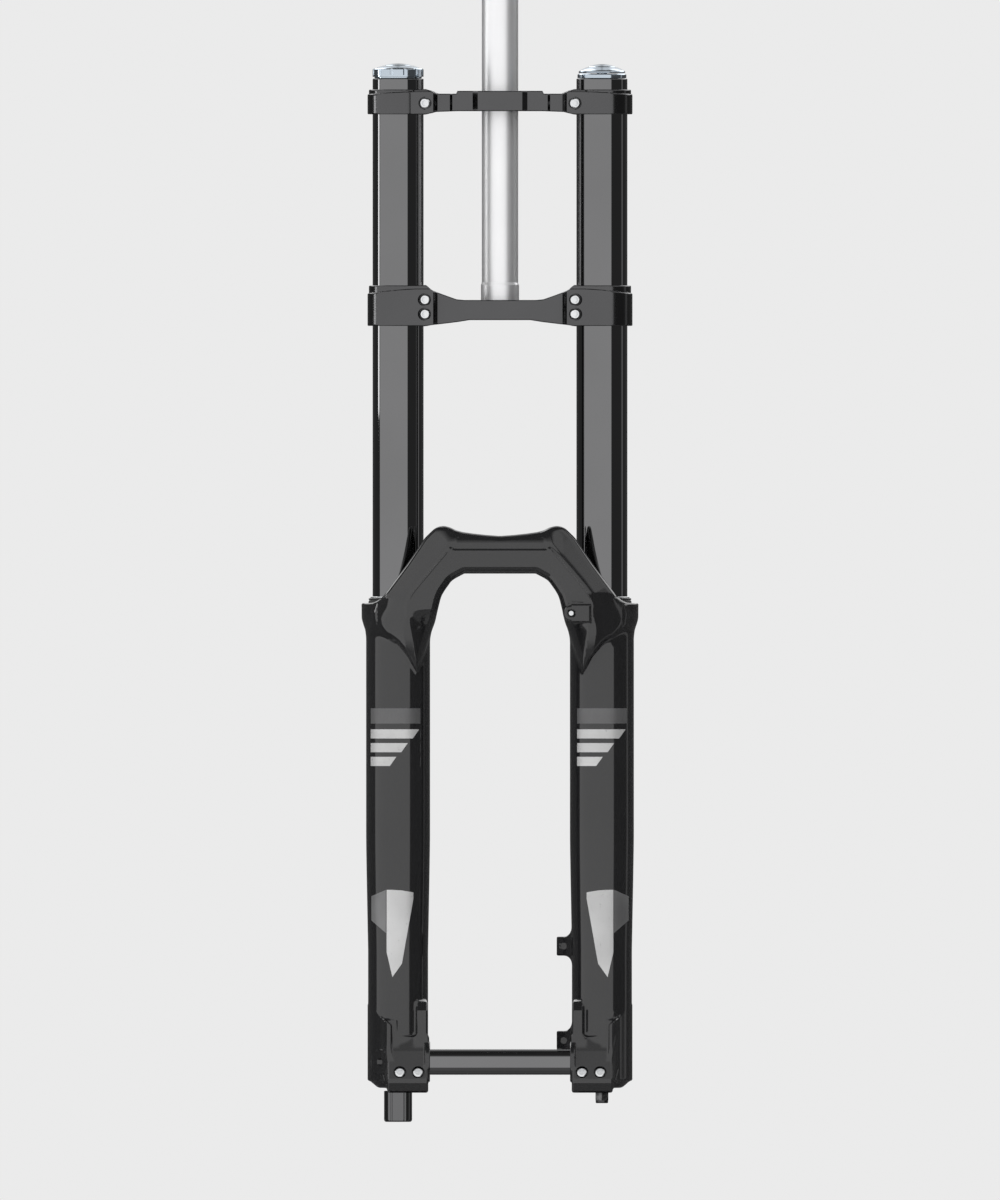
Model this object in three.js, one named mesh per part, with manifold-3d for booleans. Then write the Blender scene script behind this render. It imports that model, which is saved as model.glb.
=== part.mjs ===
// Dual-crown suspension fork with a 20 mm thru-axle.
// Millimetres, +Z up the steerer, front of the fork towards -Y, rider's left towards +X.
// The origin is on the steerer axis, on the crown race seat of the lower crown.

import * as THREE from 'three';
import { mergeVertices } from 'three/addons/utils/BufferGeometryUtils.js';
import { ConvexGeometry } from 'three/addons/geometries/ConvexGeometry.js';
import Module from 'manifold-3d';

const wasm = await Module();
wasm.setup();

// ---- Driving dimensions ----

const TRAVEL = 203;
const HUB_WIDTH = 110;
const AXLE_DIAMETER = 20;
const STANCHION_DIAMETER = 40;
const STANCHION_WALL = 2;
const STEERER_DIAMETER = 28.6;
const STEERER_WALL = 2.8;
const STEERER_TOP = 250;
const RACE_SEAT_DIAMETER = 30;
const RACE_SEAT_HEIGHT = 11.8;
const CROWN_OFFSET = 30;
const AXLE_OFFSET = 20;
const BUSHING_OVERLAP = 140;
const POST_SPACING = 74;

const RUNNING_GAP = 0.06;
const PRESS_GAP = 0.05;
const REST_GAP = 0.3;

const ROUND = 24;
const INNER_ROUND = 16;
const SMALL_ROUND = 12;

// Crowns
const LOWER_CLAMP_TOP = 11.5;
const LOWER_CLAMP_HEIGHT = 31.9;
const LOWER_WEB_HEIGHT = 15.8;
const UPPER_CLAMP_BOTTOM = 145.7;
const UPPER_CLAMP_HEIGHT = 19.6;
const UPPER_WEB_RISE = 2.5;
const STEM_PLATFORM_TOP = 18.6;
const STEM_PLATFORM_HALF_WIDTH = 33.4;
const STEM_PLATFORM_STEP = 2.3;
const STEM_HOLE_SPACING_X = 50.8;
const STEM_HOLE_SPACING_Y = 25.4;
const STEM_HOLE_RADIUS = 2.6;
const CLAMP_WALL = 3.8;
const CLAMP_LIP = 1.1;
const CLAMP_SLIT = 2;
const SLIT_TO_WEB = 2;
const STEERER_SEAT_WALL = 6.7;
const PINCH_BOLT_RADIUS = 2.5;
const PINCH_HEAD_RADIUS = 4.1;
const PINCH_HEAD_HEIGHT = 5;
const BOLT_INSIDE_BORE = 0.8;
const PINCH_BOLT_TILT = THREE.MathUtils.degToRad(12);
const CROWN_BOLT_LENGTH = 36;
const EAR_REACH = 9;
const EAR_ROOT = 12;

// Lowers
const TOP_CLEARANCE = 10.1;
const SEAL_STAND = 4.4;
const LEG_PLAY = 1.3;
const LEG_WALL_TOP = 3.8;
const LEG_WALL_BOTTOM = 2.25;
const COLLAR_WALL = 8.7;
const COLLAR_HEIGHT = 13.1;
const BOTTOM_OUT_GAP = 3.8;
const AXLE_ROOF = 3.5;
const AXLE_TO_LEG_BOTTOM = 20.3;
const HUB_FACE_STEP = 1.45;
const ARCH_DEPTH = 25;
const ARCH_CLEARANCE = 1.8;
const ARCH_WALL = 6;
const ARCH_ROOT = 4;
const ARCH_POCKET_SHARE = 0.55;
const FOOT_HOLE_RADIUS = 4.2;

// Inner pieces
const SHAFT_RADIUS = 5;
const SHAFT_END_RADIUS = 3.9;
const CARTRIDGE_RADIUS = 15;
const CARTRIDGE_WALL = 1.5;
const FLOATING_CHAMBER = 112;
const ADJUSTER_ROD_RADIUS = 2.2;
const COMPRESSION_ROD_RADIUS = 4;

// ---- Sizes that follow ----

const stanchionR = STANCHION_DIAMETER / 2;
const stanchionBoreR = stanchionR - STANCHION_WALL;
const steererR = STEERER_DIAMETER / 2;
const raceR = Math.max(RACE_SEAT_DIAMETER / 2, steererR + 0.7);
const axleR = AXLE_DIAMETER / 2;
const cavityR = stanchionR + LEG_PLAY;
const legTopR = cavityR + LEG_WALL_TOP;
const legBottomR = cavityR + LEG_WALL_BOTTOM;
const collarR = stanchionR + COLLAR_WALL;
const clampR = stanchionR + CLAMP_WALL;
const earInner = stanchionR + EAR_REACH;
const crownFront = CROWN_OFFSET - CLAMP_SLIT / 2 - SLIT_TO_WEB;
const crownRear = steererR + STEERER_SEAT_WALL;
const legX = HUB_WIDTH / 2 + HUB_FACE_STEP + legBottomR;
const legY = -CROWN_OFFSET;
const axleY = legY - AXLE_OFFSET;

const lowerClampBottom = LOWER_CLAMP_TOP - LOWER_CLAMP_HEIGHT;
const upperClampTop = UPPER_CLAMP_BOTTOM + UPPER_CLAMP_HEIGHT;
const stanchionTop = upperClampTop + 8.6;
const sealTop = lowerClampBottom - TRAVEL - TOP_CLEARANCE;
const legTop = sealTop - SEAL_STAND;
const stanchionBottom = legTop - BUSHING_OVERLAP;
const legFloor = stanchionBottom - TRAVEL - BOTTOM_OUT_GAP;
const axleZ = legFloor - AXLE_ROOF - axleR;
const legBottom = axleZ - AXLE_TO_LEG_BOTTOM;
const archRear = legY - clampR - ARCH_CLEARANCE;
const archFront = archRear - ARCH_DEPTH;

// ---- Materials ----

const paint = (color, roughness, metalness) => new THREE.MeshStandardMaterial({ color, roughness, metalness });
const glossBlack = paint(0x1b1b1d, 0.25, 0.1);
const anodisedBlack = paint(0x222224, 0.35, 0.6);
const satinGrey = paint(0x35363a, 0.5, 0.7);
const silver = paint(0xc9cbcd, 0.3, 1);
const blueSilver = paint(0xa9bccb, 0.3, 0.9);
const rubber = paint(0x141414, 0.8, 0);
const bronze = paint(0x8f7a4a, 0.5, 0.6);
const foam = paint(0x6b6a58, 0.95, 0);
const nylon = paint(0xd8d5c8, 0.6, 0);

// ---- Shape helpers ----

function solid(geometry) {
  const bare = geometry.clone();
  bare.deleteAttribute('normal');
  bare.deleteAttribute('uv');
  const merged = mergeVertices(bare, 1e-4);
  const corners = merged.index.array;
  const points = merged.attributes.position.array;
  const triangles = [];
  let volume = 0;
  for (let i = 0; i < corners.length; i += 3) {
    const [a, b, c] = [corners[i], corners[i + 1], corners[i + 2]];
    if (a === b || b === c || c === a) continue;
    triangles.push(a, b, c);
    const [pa, pb, pc] = [a, b, c].map((k) => new THREE.Vector3().fromArray(points, 3 * k));
    volume += pa.dot(pb.cross(pc));
  }
  if (volume < 0) triangles.reverse();
  return new wasm.Manifold(new wasm.Mesh({
    numProp: 3,
    vertProperties: Float32Array.from(points),
    triVerts: Uint32Array.from(triangles),
  }));
}

function toGeometry(body) {
  const mesh = body.getMesh();
  const geometry = new THREE.BufferGeometry();
  geometry.setAttribute('position', new THREE.BufferAttribute(Float32Array.from(mesh.vertProperties), 3));
  geometry.setIndex(new THREE.BufferAttribute(Uint32Array.from(mesh.triVerts), 1));
  geometry.computeVertexNormals();
  return geometry;
}

// Turns a profile of [radius, z] points around Z. It closes on itself or starts and ends on the axis.
function turned(profile, segments = ROUND) {
  const points = profile.map(([r, z]) => new THREE.Vector2(r, z));
  const geometry = new THREE.LatheGeometry(points, segments);
  geometry.rotateX(Math.PI / 2);
  return solid(geometry);
}

function cylinder(radius, low, high, segments = ROUND) {
  return turned([[0, low], [radius, low], [radius, high], [0, high]], segments);
}

function ring(outer, inner, low, high, segments = ROUND) {
  return turned([[inner, low], [outer, low], [outer, high], [inner, high], [inner, low]], segments);
}

const PLANES = {
  plan: new THREE.Matrix4(),
  front: new THREE.Matrix4().makeBasis(
    new THREE.Vector3(1, 0, 0), new THREE.Vector3(0, 0, 1), new THREE.Vector3(0, -1, 0)),
  side: new THREE.Matrix4().makeBasis(
    new THREE.Vector3(0, 1, 0), new THREE.Vector3(0, 0, 1), new THREE.Vector3(1, 0, 0)),
};

// Extrudes an outline drawn in a plane between two places on the plane's normal: Z, Y or X.
function prism(points, plane, from, to) {
  const shape = new THREE.Shape(points.map(([u, v]) => new THREE.Vector2(u, v)));
  const geometry = new THREE.ExtrudeGeometry(shape, { depth: to - from, bevelEnabled: false });
  geometry.translate(0, 0, plane === 'front' ? -to : from);
  geometry.applyMatrix4(PLANES[plane]);
  return solid(geometry);
}

function block(low, high) {
  const size = high.map((value, k) => value - low[k]);
  const geometry = new THREE.BoxGeometry(...size);
  geometry.translate(...low.map((value, k) => value + size[k] / 2));
  return solid(geometry);
}

function hull(points) {
  return solid(new ConvexGeometry(points.map((p) => new THREE.Vector3(...p))));
}

function arcPoints(x, y, radius, fromDegrees, toDegrees, steps) {
  const points = [];
  for (let k = 0; k <= steps; k += 1) {
    const angle = THREE.MathUtils.degToRad(fromDegrees + ((toDegrees - fromDegrees) * k) / steps);
    points.push([x + radius * Math.cos(angle), y + radius * Math.sin(angle)]);
  }
  return points;
}

const union = (bodies) => bodies.reduce((whole, body) => whole.add(body));
const cut = (body, tools) => tools.reduce((left, tool) => left.subtract(tool), body);
const mirrorX = (points) => points.map(([x, y]) => [-x, y]).reverse();

// A cylinder that starts at a point and runs along a direction, on the side's own placement.
function drilled(start, direction, radius, length, segments = SMALL_ROUND) {
  const geometry = new THREE.CylinderGeometry(radius, radius, length, segments);
  geometry.translate(0, length / 2, 0);
  const turn = new THREE.Quaternion().setFromUnitVectors(new THREE.Vector3(0, 1, 0), direction);
  geometry.applyQuaternion(turn);
  geometry.translate(...start.toArray());
  return solid(geometry);
}

// ---- Assembly ----

const fork = new THREE.Group();
const damperLeg = new THREE.Group();
const springLeg = new THREE.Group();
damperLeg.position.set(-legX, legY, 0);
springLeg.position.set(legX, legY, 0);
fork.add(damperLeg, springLeg);

function place(group, name, body, material) {
  const mesh = new THREE.Mesh(toGeometry(body), material);
  mesh.name = name;
  group.add(mesh);
  return mesh;
}

// ---- Fasteners ----

// A socket-head bolt whose head top is at its origin and whose shank runs along -Z.
function capBolt(shankRadius, headRadius, headHeight, length) {
  const profile = [
    [0, 0], [headRadius - 0.6, 0], [headRadius, -0.6], [headRadius, -headHeight],
    [shankRadius, -headHeight], [shankRadius, -length], [0, -length],
  ];
  const socket = cylinder(headRadius * 0.6, -headHeight * 0.55, 1, 6);
  return turned(profile, SMALL_ROUND).subtract(socket);
}

function placeBolt(name, headTop, direction, body, material = silver) {
  const mesh = place(fork, name, body, material);
  mesh.position.copy(headTop);
  mesh.quaternion.setFromUnitVectors(new THREE.Vector3(0, 0, -1), direction);
}

function boltHole(headTop, direction, shankRadius, headRadius, headHeight, length) {
  const outside = headTop.clone().addScaledVector(direction, -12);
  const clear = PINCH_BOLT_CLEARANCE;
  return union([
    drilled(outside, direction, headRadius + clear, 12 + headHeight + REST_GAP),
    drilled(outside, direction, shankRadius + REST_GAP, 12 + length + 1),
  ]);
}

const PINCH_BOLT_CLEARANCE = 0.95;

// ---- Crowns ----

const crownBoltDirection = (side) =>
  new THREE.Vector3(-side * Math.sin(PINCH_BOLT_TILT), Math.cos(PINCH_BOLT_TILT), 0);

const crownBoltHead = (side, z) =>
  new THREE.Vector3(side * (legX - stanchionR - BOLT_INSIDE_BORE), legY - clampR + 0.9, z);

const upperBoltHeights = [UPPER_CLAMP_BOTTOM + 8.8];
const lowerBoltHeights = [LOWER_CLAMP_TOP - 11.3, LOWER_CLAMP_TOP - 22.6];

function crownHoles(heights) {
  const holes = [];
  for (const side of [-1, 1]) {
    for (const z of heights) {
      holes.push(boltHole(crownBoltHead(side, z), crownBoltDirection(side), PINCH_BOLT_RADIUS,
        PINCH_HEAD_RADIUS, PINCH_HEAD_HEIGHT, CROWN_BOLT_LENGTH));
    }
  }
  return holes;
}

// Clamp ring, front ear and slit of one side. The web joins the ring behind the slit.
function clampRing(side, low, high, lip) {
  const rim = clampR + 0.2;
  const profile = [
    [0, low], [rim, low], [rim, high - lip - 0.8], [rim - CLAMP_LIP, high - lip], [rim - CLAMP_LIP, high], [0, high],
  ];
  return turned(profile).translate([side * legX, legY, 0]);
}

function frontEar(side, low, high) {
  const front = legY - clampR;
  const points = [
    [legX - EAR_ROOT, front], [legX - earInner + 1.5, front], [legX - earInner, front + 2],
    [legX - earInner, legY - CLAMP_SLIT / 2], [legX - EAR_ROOT, legY - CLAMP_SLIT / 2],
  ];
  const outline = side > 0 ? points : mirrorX(points);
  return prism(outline, 'plan', low, high);
}

function clampSlit(side, low, high) {
  const ends = [side * (legX - earInner - 4), side * (legX - stanchionR + 3)].sort((a, b) => a - b);
  return block([ends[0], legY - CLAMP_SLIT / 2, low - 1], [ends[1], legY + CLAMP_SLIT / 2, high + 1]);
}

// The web from clamp to clamp: straight in front just behind the slits, bowed round the steerer behind.
function webOutline(frontPoints) {
  const reach = legX - stanchionR * 0.55;
  const waist = legX - earInner - 3;
  const right = [
    ...frontPoints,
    [legX - earInner, legY + CLAMP_SLIT / 2 + 0.2],
    [reach, legY + CLAMP_SLIT / 2 + 0.2],
    [reach, legY + clampR * 0.8],
    [waist + 4, legY + clampR * 0.92],
    [waist - 8, legY + clampR + 4],
    ...arcPoints(0, 0, crownRear, 35, 90, 5),
  ];
  return [...right, ...mirrorX(right).slice(1)];
}

// What the front view shows of a crown: everything outside this outline is taken off.
function frontOutline(topPoints, bottomPoints) {
  const right = [...topPoints, ...bottomPoints];
  return [...right, ...mirrorX(right)];
}

function lowerCrown() {
  const low = lowerClampBottom;
  const high = LOWER_CLAMP_TOP;
  const edge = legX + clampR + 5;
  const valley = new THREE.QuadraticBezierCurve(
    new THREE.Vector2(legX - 52, 0), new THREE.Vector2(legX - 36, 1.6), new THREE.Vector2(legX - 22, high));
  const top = [[legX - 52, 0], ...valley.getPoints(6).slice(1).map((p) => [p.x, p.y]), [edge, high]];
  const bottom = [[edge, low], [legX - 22, low], [legX - 47, low + 3.1], [legX - 56, -LOWER_WEB_HEIGHT]];
  const front = [[0, -crownFront], [legX - earInner - 2, -crownFront]];
  const mass = union([
    clampRing(-1, low, high, 6.8),
    clampRing(1, low, high, 6.8),
    frontEar(-1, low, high),
    frontEar(1, low, high),
    prism(webOutline(front), 'plan', low, high),
  ]).intersect(prism(frontOutline(top, bottom), 'front', -200, 200));
  return cut(mass, [
    cylinder(stanchionR + PRESS_GAP, low - 1, high + 1).translate([-legX, legY, 0]),
    cylinder(stanchionR + PRESS_GAP, low - 1, high + 1).translate([legX, legY, 0]),
    cylinder(raceR + PRESS_GAP, low - 1, high + 1),
    clampSlit(-1, low, high),
    clampSlit(1, low, high),
    ...crownHoles(lowerBoltHeights),
  ]);
}

function upperCrown() {
  const low = UPPER_CLAMP_BOTTOM;
  const high = upperClampTop;
  const edge = legX + clampR + 5;
  const platform = low + STEM_PLATFORM_TOP;
  const shoulder = platform - STEM_PLATFORM_STEP;
  const half = STEM_PLATFORM_HALF_WIDTH;
  const top = [[half, platform], [half + 1, shoulder], [legX - 32, shoulder], [legX - 22, high], [edge, high]];
  const bottom = [[edge, low], [legX - 22, low], [legX - 30, low + UPPER_WEB_RISE - 0.6], [half, low + UPPER_WEB_RISE]];
  const front = [
    [0, -crownFront - 3], [17.5, -crownFront - 3], [21.5, -crownFront - 0.4],
    [half + 4, -crownFront], [half + 6, -crownFront + 1.5], [legX - earInner - 2, -crownFront + 1.5],
  ];
  const mass = union([
    clampRing(-1, low, high, 4.5),
    clampRing(1, low, high, 4.5),
    frontEar(-1, low, high),
    frontEar(1, low, high),
    prism(webOutline(front), 'plan', low, high),
    block([-9, 0, low], [9, steererR + 13, high]),
  ]).intersect(prism(frontOutline(top, bottom), 'front', -200, 200));
  const stemHoles = [];
  for (const side of [-1, 1]) {
    for (const row of [-1, 1]) {
      const x = (side * STEM_HOLE_SPACING_X) / 2;
      const y = -8 + (row * STEM_HOLE_SPACING_Y) / 2;
      stemHoles.push(cylinder(STEM_HOLE_RADIUS, low - 1, high + 1, SMALL_ROUND).translate([x, y, 0]));
    }
  }
  return cut(mass, [
    cylinder(stanchionR + PRESS_GAP, low - 1, high + 1).translate([-legX, legY, 0]),
    cylinder(stanchionR + PRESS_GAP, low - 1, high + 1).translate([legX, legY, 0]),
    cylinder(steererR + PRESS_GAP, low - 1, high + 1),
    clampSlit(-1, low, high),
    clampSlit(1, low, high),
    block([-CLAMP_SLIT / 2, steererR - 2, low - 1], [CLAMP_SLIT / 2, steererR + 20, high + 1]),
    ...stemHoles,
    ...crownHoles(upperBoltHeights),
    boltHole(steererBoltHead(), steererBoltDirection, PINCH_BOLT_RADIUS, PINCH_HEAD_RADIUS,
      PINCH_HEAD_HEIGHT, STEERER_BOLT_LENGTH),
  ]);
}

const STEERER_BOLT_LENGTH = 16;
const steererBoltDirection = new THREE.Vector3(-1, 0, 0);
const steererBoltHead = () =>
  new THREE.Vector3(9, steererR + PINCH_BOLT_RADIUS + 4, UPPER_CLAMP_BOTTOM + UPPER_CLAMP_HEIGHT / 2 - 0.6);

function steerer() {
  const boreR = steererR - STEERER_WALL;
  return turned([
    [boreR, -LOWER_WEB_HEIGHT + 0.5], [raceR, -LOWER_WEB_HEIGHT + 0.5], [raceR, RACE_SEAT_HEIGHT],
    [steererR, RACE_SEAT_HEIGHT + 0.7], [steererR, STEERER_TOP - 0.8], [steererR - 0.8, STEERER_TOP],
    [boreR, STEERER_TOP], [boreR, -LOWER_WEB_HEIGHT + 0.5],
  ]);
}

function buildCrowns() {
  place(fork, 'steerer_tube', steerer(), silver);
  place(fork, 'lower_crown', lowerCrown(), satinGrey);
  place(fork, 'upper_crown', upperCrown(), satinGrey);
  const bolt = capBolt(PINCH_BOLT_RADIUS, PINCH_HEAD_RADIUS, PINCH_HEAD_HEIGHT, CROWN_BOLT_LENGTH);
  for (const [side, hand] of [[-1, 'right'], [1, 'left']]) {
    placeBolt(`upper_clamp_bolt_${hand}`, crownBoltHead(side, upperBoltHeights[0]), crownBoltDirection(side), bolt);
    lowerBoltHeights.forEach((z, k) => {
      placeBolt(`lower_clamp_bolt_${hand}_${k + 1}`, crownBoltHead(side, z), crownBoltDirection(side), bolt);
    });
  }
  const steererBolt = capBolt(PINCH_BOLT_RADIUS, PINCH_HEAD_RADIUS, PINCH_HEAD_HEIGHT, STEERER_BOLT_LENGTH);
  placeBolt('steerer_clamp_bolt', steererBoltHead(), steererBoltDirection, steererBolt);
}

// ---- Stanchions and top caps, on each leg's own axis ----

function stanchion() {
  const lead = 1;
  return turned([
    [stanchionBoreR, stanchionBottom], [stanchionR - lead, stanchionBottom], [stanchionR, stanchionBottom + lead],
    [stanchionR, stanchionTop - 0.5], [stanchionR - 0.5, stanchionTop], [stanchionBoreR, stanchionTop],
    [stanchionBoreR, stanchionBottom],
  ]);
}

const plugR = stanchionBoreR - PRESS_GAP;
const PLUG_DEPTH = 14;
const DAMPER_RING_HEIGHT = 6.8;
const CAP_NOTCHES = 8;
const SPRING_RING_HEIGHT = 3.6;
const KNOB_RADIUS = 16.2;
const KNOB_HEIGHT = 3.4;
const AIR_CAP_RADIUS = 14.8;
const AIR_CAP_HEIGHT = 7.1;
const VALVE_RADIUS = 4;

const damperRingTop = stanchionTop + 1.3 + DAMPER_RING_HEIGHT;
const springRingTop = stanchionTop + REST_GAP + SPRING_RING_HEIGHT;

function damperTopCap() {
  const boreR = COMPRESSION_ROD_RADIUS + REST_GAP;
  const low = stanchionTop - PLUG_DEPTH;
  const body = turned([
    [boreR, low], [plugR, low], [plugR, stanchionTop], [plugR + 0.6, stanchionTop + REST_GAP],
    [plugR + 0.6, stanchionTop + 1.3], [stanchionR, stanchionTop + 1.3], [stanchionR, damperRingTop - 0.6],
    [stanchionR - 0.6, damperRingTop], [boreR, damperRingTop], [boreR, low],
  ]);
  const notches = [];
  for (let k = 0; k < CAP_NOTCHES; k += 1) {
    const angle = ((k + 0.5) * 2 * Math.PI) / CAP_NOTCHES;
    const notch = cylinder(1.8, stanchionTop + 3, damperRingTop + 1, 6);
    notches.push(notch.translate([(stanchionR + 0.7) * Math.cos(angle), (stanchionR + 0.7) * Math.sin(angle), 0]));
  }
  return cut(body, notches);
}

function springTopCap() {
  const boreR = VALVE_RADIUS + REST_GAP;
  const low = stanchionTop - PLUG_DEPTH;
  const rim = stanchionR - 0.8;
  return turned([
    [boreR, low], [plugR, low], [plugR, stanchionTop], [plugR + 0.6, stanchionTop + REST_GAP],
    [rim, stanchionTop + REST_GAP], [rim, springRingTop - 0.5], [rim - 0.5, springRingTop],
    [boreR, springRingTop], [boreR, low],
  ]);
}

// The knob's low dome carries one raised finger ridge; its stem turns in the cap's bore.
function compressionKnob() {
  const low = damperRingTop + REST_GAP;
  const crest = low + KNOB_HEIGHT;
  const dome = turned([
    [0, low - 3], [COMPRESSION_ROD_RADIUS, low - 3], [COMPRESSION_ROD_RADIUS, low], [KNOB_RADIUS - 0.4, low],
    [KNOB_RADIUS, low + 0.4], [KNOB_RADIUS * 0.8, low + KNOB_HEIGHT * 0.4], [KNOB_RADIUS * 0.45, low + KNOB_HEIGHT * 0.62],
    [0, low + KNOB_HEIGHT * 0.7],
  ]);
  const ridge = prism(
    [[-12.5, low + 0.2], [15, low + 0.2], [13, crest - 1], [3, crest], [-4, crest], [-10, crest - 1.3]],
    'front', -3.2, 3.2);
  return dome.add(ridge);
}

function airCap() {
  const low = springRingTop + REST_GAP;
  const high = low + AIR_CAP_HEIGHT;
  const hollow = VALVE_RADIUS + 1.2;
  return turned([
    [0, high - 2], [hollow, high - 2], [hollow, low], [AIR_CAP_RADIUS, low], [AIR_CAP_RADIUS, low + 1.2],
    [AIR_CAP_RADIUS * 0.86, low + AIR_CAP_HEIGHT * 0.6], [AIR_CAP_RADIUS * 0.5, high - 0.6], [0, high],
  ]);
}

// ---- Damper inner pieces ----

const pistonRest = stanchionBottom + 62;
const cartridgeBottom = stanchionBottom + 28;
const cartridgeTop = stanchionTop - PLUG_DEPTH - REST_GAP;
const baseValveTop = cartridgeTop - FLOATING_CHAMBER;
const ifpRest = baseValveTop + 8;
const IFP_HEIGHT = 12;
const PISTON_HEIGHT = 12;
const cartridgeBoreR = CARTRIDGE_RADIUS - CARTRIDGE_WALL;
const pistonR = cartridgeBoreR - RUNNING_GAP;

function cartridgeTube() {
  return ring(CARTRIDGE_RADIUS, cartridgeBoreR, cartridgeBottom, cartridgeTop, INNER_ROUND);
}

function damperSealHead() {
  const boreR = SHAFT_RADIUS + RUNNING_GAP;
  const low = stanchionBottom + 3;
  const base = ring(plugR, boreR, low, cartridgeBottom - REST_GAP);
  return base.add(ring(cartridgeBoreR - PRESS_GAP, boreR, low + 5, cartridgeBottom + 10, INNER_ROUND));
}

function compressionValve() {
  const top = damperRingTop - 3.5;
  return turned([
    [0, baseValveTop - 14], [cartridgeBoreR - PRESS_GAP, baseValveTop - 14], [cartridgeBoreR - PRESS_GAP, baseValveTop],
    [COMPRESSION_ROD_RADIUS, baseValveTop], [COMPRESSION_ROD_RADIUS, top], [0, top],
  ], INNER_ROUND);
}

function floatingPiston() {
  return ring(pistonR, COMPRESSION_ROD_RADIUS + RUNNING_GAP, ifpRest, ifpRest + IFP_HEIGHT, INNER_ROUND);
}

// A coil spring: a round wire along a helix, extruded as one closed piece.
class Helix extends THREE.Curve {
  constructor(radius, low, high, turns) {
    super();
    Object.assign(this, { radius, low, high, turns });
  }

  getPoint(t, target = new THREE.Vector3()) {
    const angle = 2 * Math.PI * this.turns * t;
    const z = this.low + (this.high - this.low) * t;
    return target.set(this.radius * Math.cos(angle), this.radius * Math.sin(angle), z);
  }
}

const SPRING_WIRE_RADIUS = 1.1;

function floatingPistonSpring() {
  const low = ifpRest + IFP_HEIGHT + SPRING_WIRE_RADIUS + REST_GAP;
  const high = cartridgeTop - SPRING_WIRE_RADIUS - REST_GAP;
  const path = new Helix(10.6, low, high, 6);
  const wire = new THREE.Shape(arcPoints(0, 0, SPRING_WIRE_RADIUS, 0, 288, 4).map(([u, v]) => new THREE.Vector2(u, v)));
  return solid(new THREE.ExtrudeGeometry(wire, { steps: 60, bevelEnabled: false, extrudePath: path }));
}

function reboundPiston() {
  return ring(pistonR, SHAFT_RADIUS + PRESS_GAP, pistonRest, pistonRest + PISTON_HEIGHT, INNER_ROUND);
}

const shaftFoot = legFloor + REST_GAP;
const shaftEnd = legBottom - 11;

function damperShaft() {
  const boreR = ADJUSTER_ROD_RADIUS + 0.3;
  return turned([
    [boreR, shaftEnd], [SHAFT_END_RADIUS, shaftEnd], [SHAFT_END_RADIUS, shaftFoot], [SHAFT_RADIUS, shaftFoot],
    [SHAFT_RADIUS, pistonRest + PISTON_HEIGHT + 4], [boreR, pistonRest + PISTON_HEIGHT + 4], [boreR, shaftEnd],
  ], INNER_ROUND);
}

// ---- Air-spring inner pieces ----

const airPistonRest = stanchionBottom + 46;
const AIR_PISTON_HEIGHT = 14;
const VALVE_STAND = 4.5;
const VALVE_PIN_RADIUS = 1;
const VALVE_BORE_RADIUS = 1.35;

function airShaft() {
  return turned([
    [0, shaftEnd], [SHAFT_END_RADIUS, shaftEnd], [SHAFT_END_RADIUS, shaftFoot], [SHAFT_RADIUS, shaftFoot],
    [SHAFT_RADIUS, airPistonRest + AIR_PISTON_HEIGHT + 4], [0, airPistonRest + AIR_PISTON_HEIGHT + 4],
  ], INNER_ROUND);
}

function airPiston() {
  const outer = stanchionBoreR - RUNNING_GAP;
  return ring(outer, SHAFT_RADIUS + PRESS_GAP, airPistonRest, airPistonRest + AIR_PISTON_HEIGHT);
}

function airSealHead() {
  const boreR = SHAFT_RADIUS + RUNNING_GAP;
  return ring(plugR, boreR, stanchionBottom + 3, stanchionBottom + 22);
}

function topOutBumper(low, high) {
  return ring(SHAFT_RADIUS + 4, SHAFT_RADIUS + REST_GAP, low, high, INNER_ROUND);
}

function valveBody() {
  const low = stanchionTop - PLUG_DEPTH - 10;
  const high = springRingTop + VALVE_STAND;
  return ring(VALVE_RADIUS, VALVE_BORE_RADIUS, low, high, SMALL_ROUND);
}

function valvePin() {
  const high = springRingTop + VALVE_STAND - 0.4;
  return cylinder(VALVE_PIN_RADIUS, high - 16, high, 10);
}

function volumeSpacer() {
  const low = stanchionTop - PLUG_DEPTH - 34;
  return turned([
    [VALVE_RADIUS + 2, low], [stanchionBoreR - 3, low], [stanchionBoreR - 3, low + 22],
    [VALVE_RADIUS + 6, low + 33], [VALVE_RADIUS + 2, low + 33], [VALVE_RADIUS + 2, low],
  ], INNER_ROUND);
}

// ---- Lower casting ----

const REBOUND_KNOB_RADIUS = 11;
const REBOUND_KNOB_LENGTH = 26.7;
const BLOCK_INNER = 23.7;
const BLOCK_OUTER = 8.5;
const BLOCK_RISE = 19.5;
const TOE_WALL = 14.1;
const BLOCK_FACE_TILT = THREE.MathUtils.degToRad(25);
const BLOCK_FACE_TOP = 6.4;
const BLOCK_FACE_BOTTOM = 13.2;
const BLOCK_LIP = 4;
const NOSE_WALL = 8.4;
const HEEL_GAP = 1.2;
const AXLE_BOLT_LENGTH = 24;
const AXLE_BOLT_FORWARD = 7;
const AXLE_BOLT_RAISE = 2.3;
const AXLE_BOLT_STATIONS = [15.7, 1.4];
const BOSS_WALL = 5.5;
const POST_TO_AXLE = 17;
const POST_HEIGHT = 15;
const POST_INNER = 35.5;
const POST_REAR = 4;
const POST_HOLE_INNER = 30;
const POST_HOLE_RADIUS = 2.6;
const LUG_OFFSET = 24.1;
const LUG_DROP = 8;
const LUG_RADIUS = 5.4;
const LUG_SCREW_RADIUS = 2.95;
const BLEED_SHANK = 1.6;
const BLEED_HEAD = 2.8;
const BLEED_LENGTH = 5;

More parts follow.
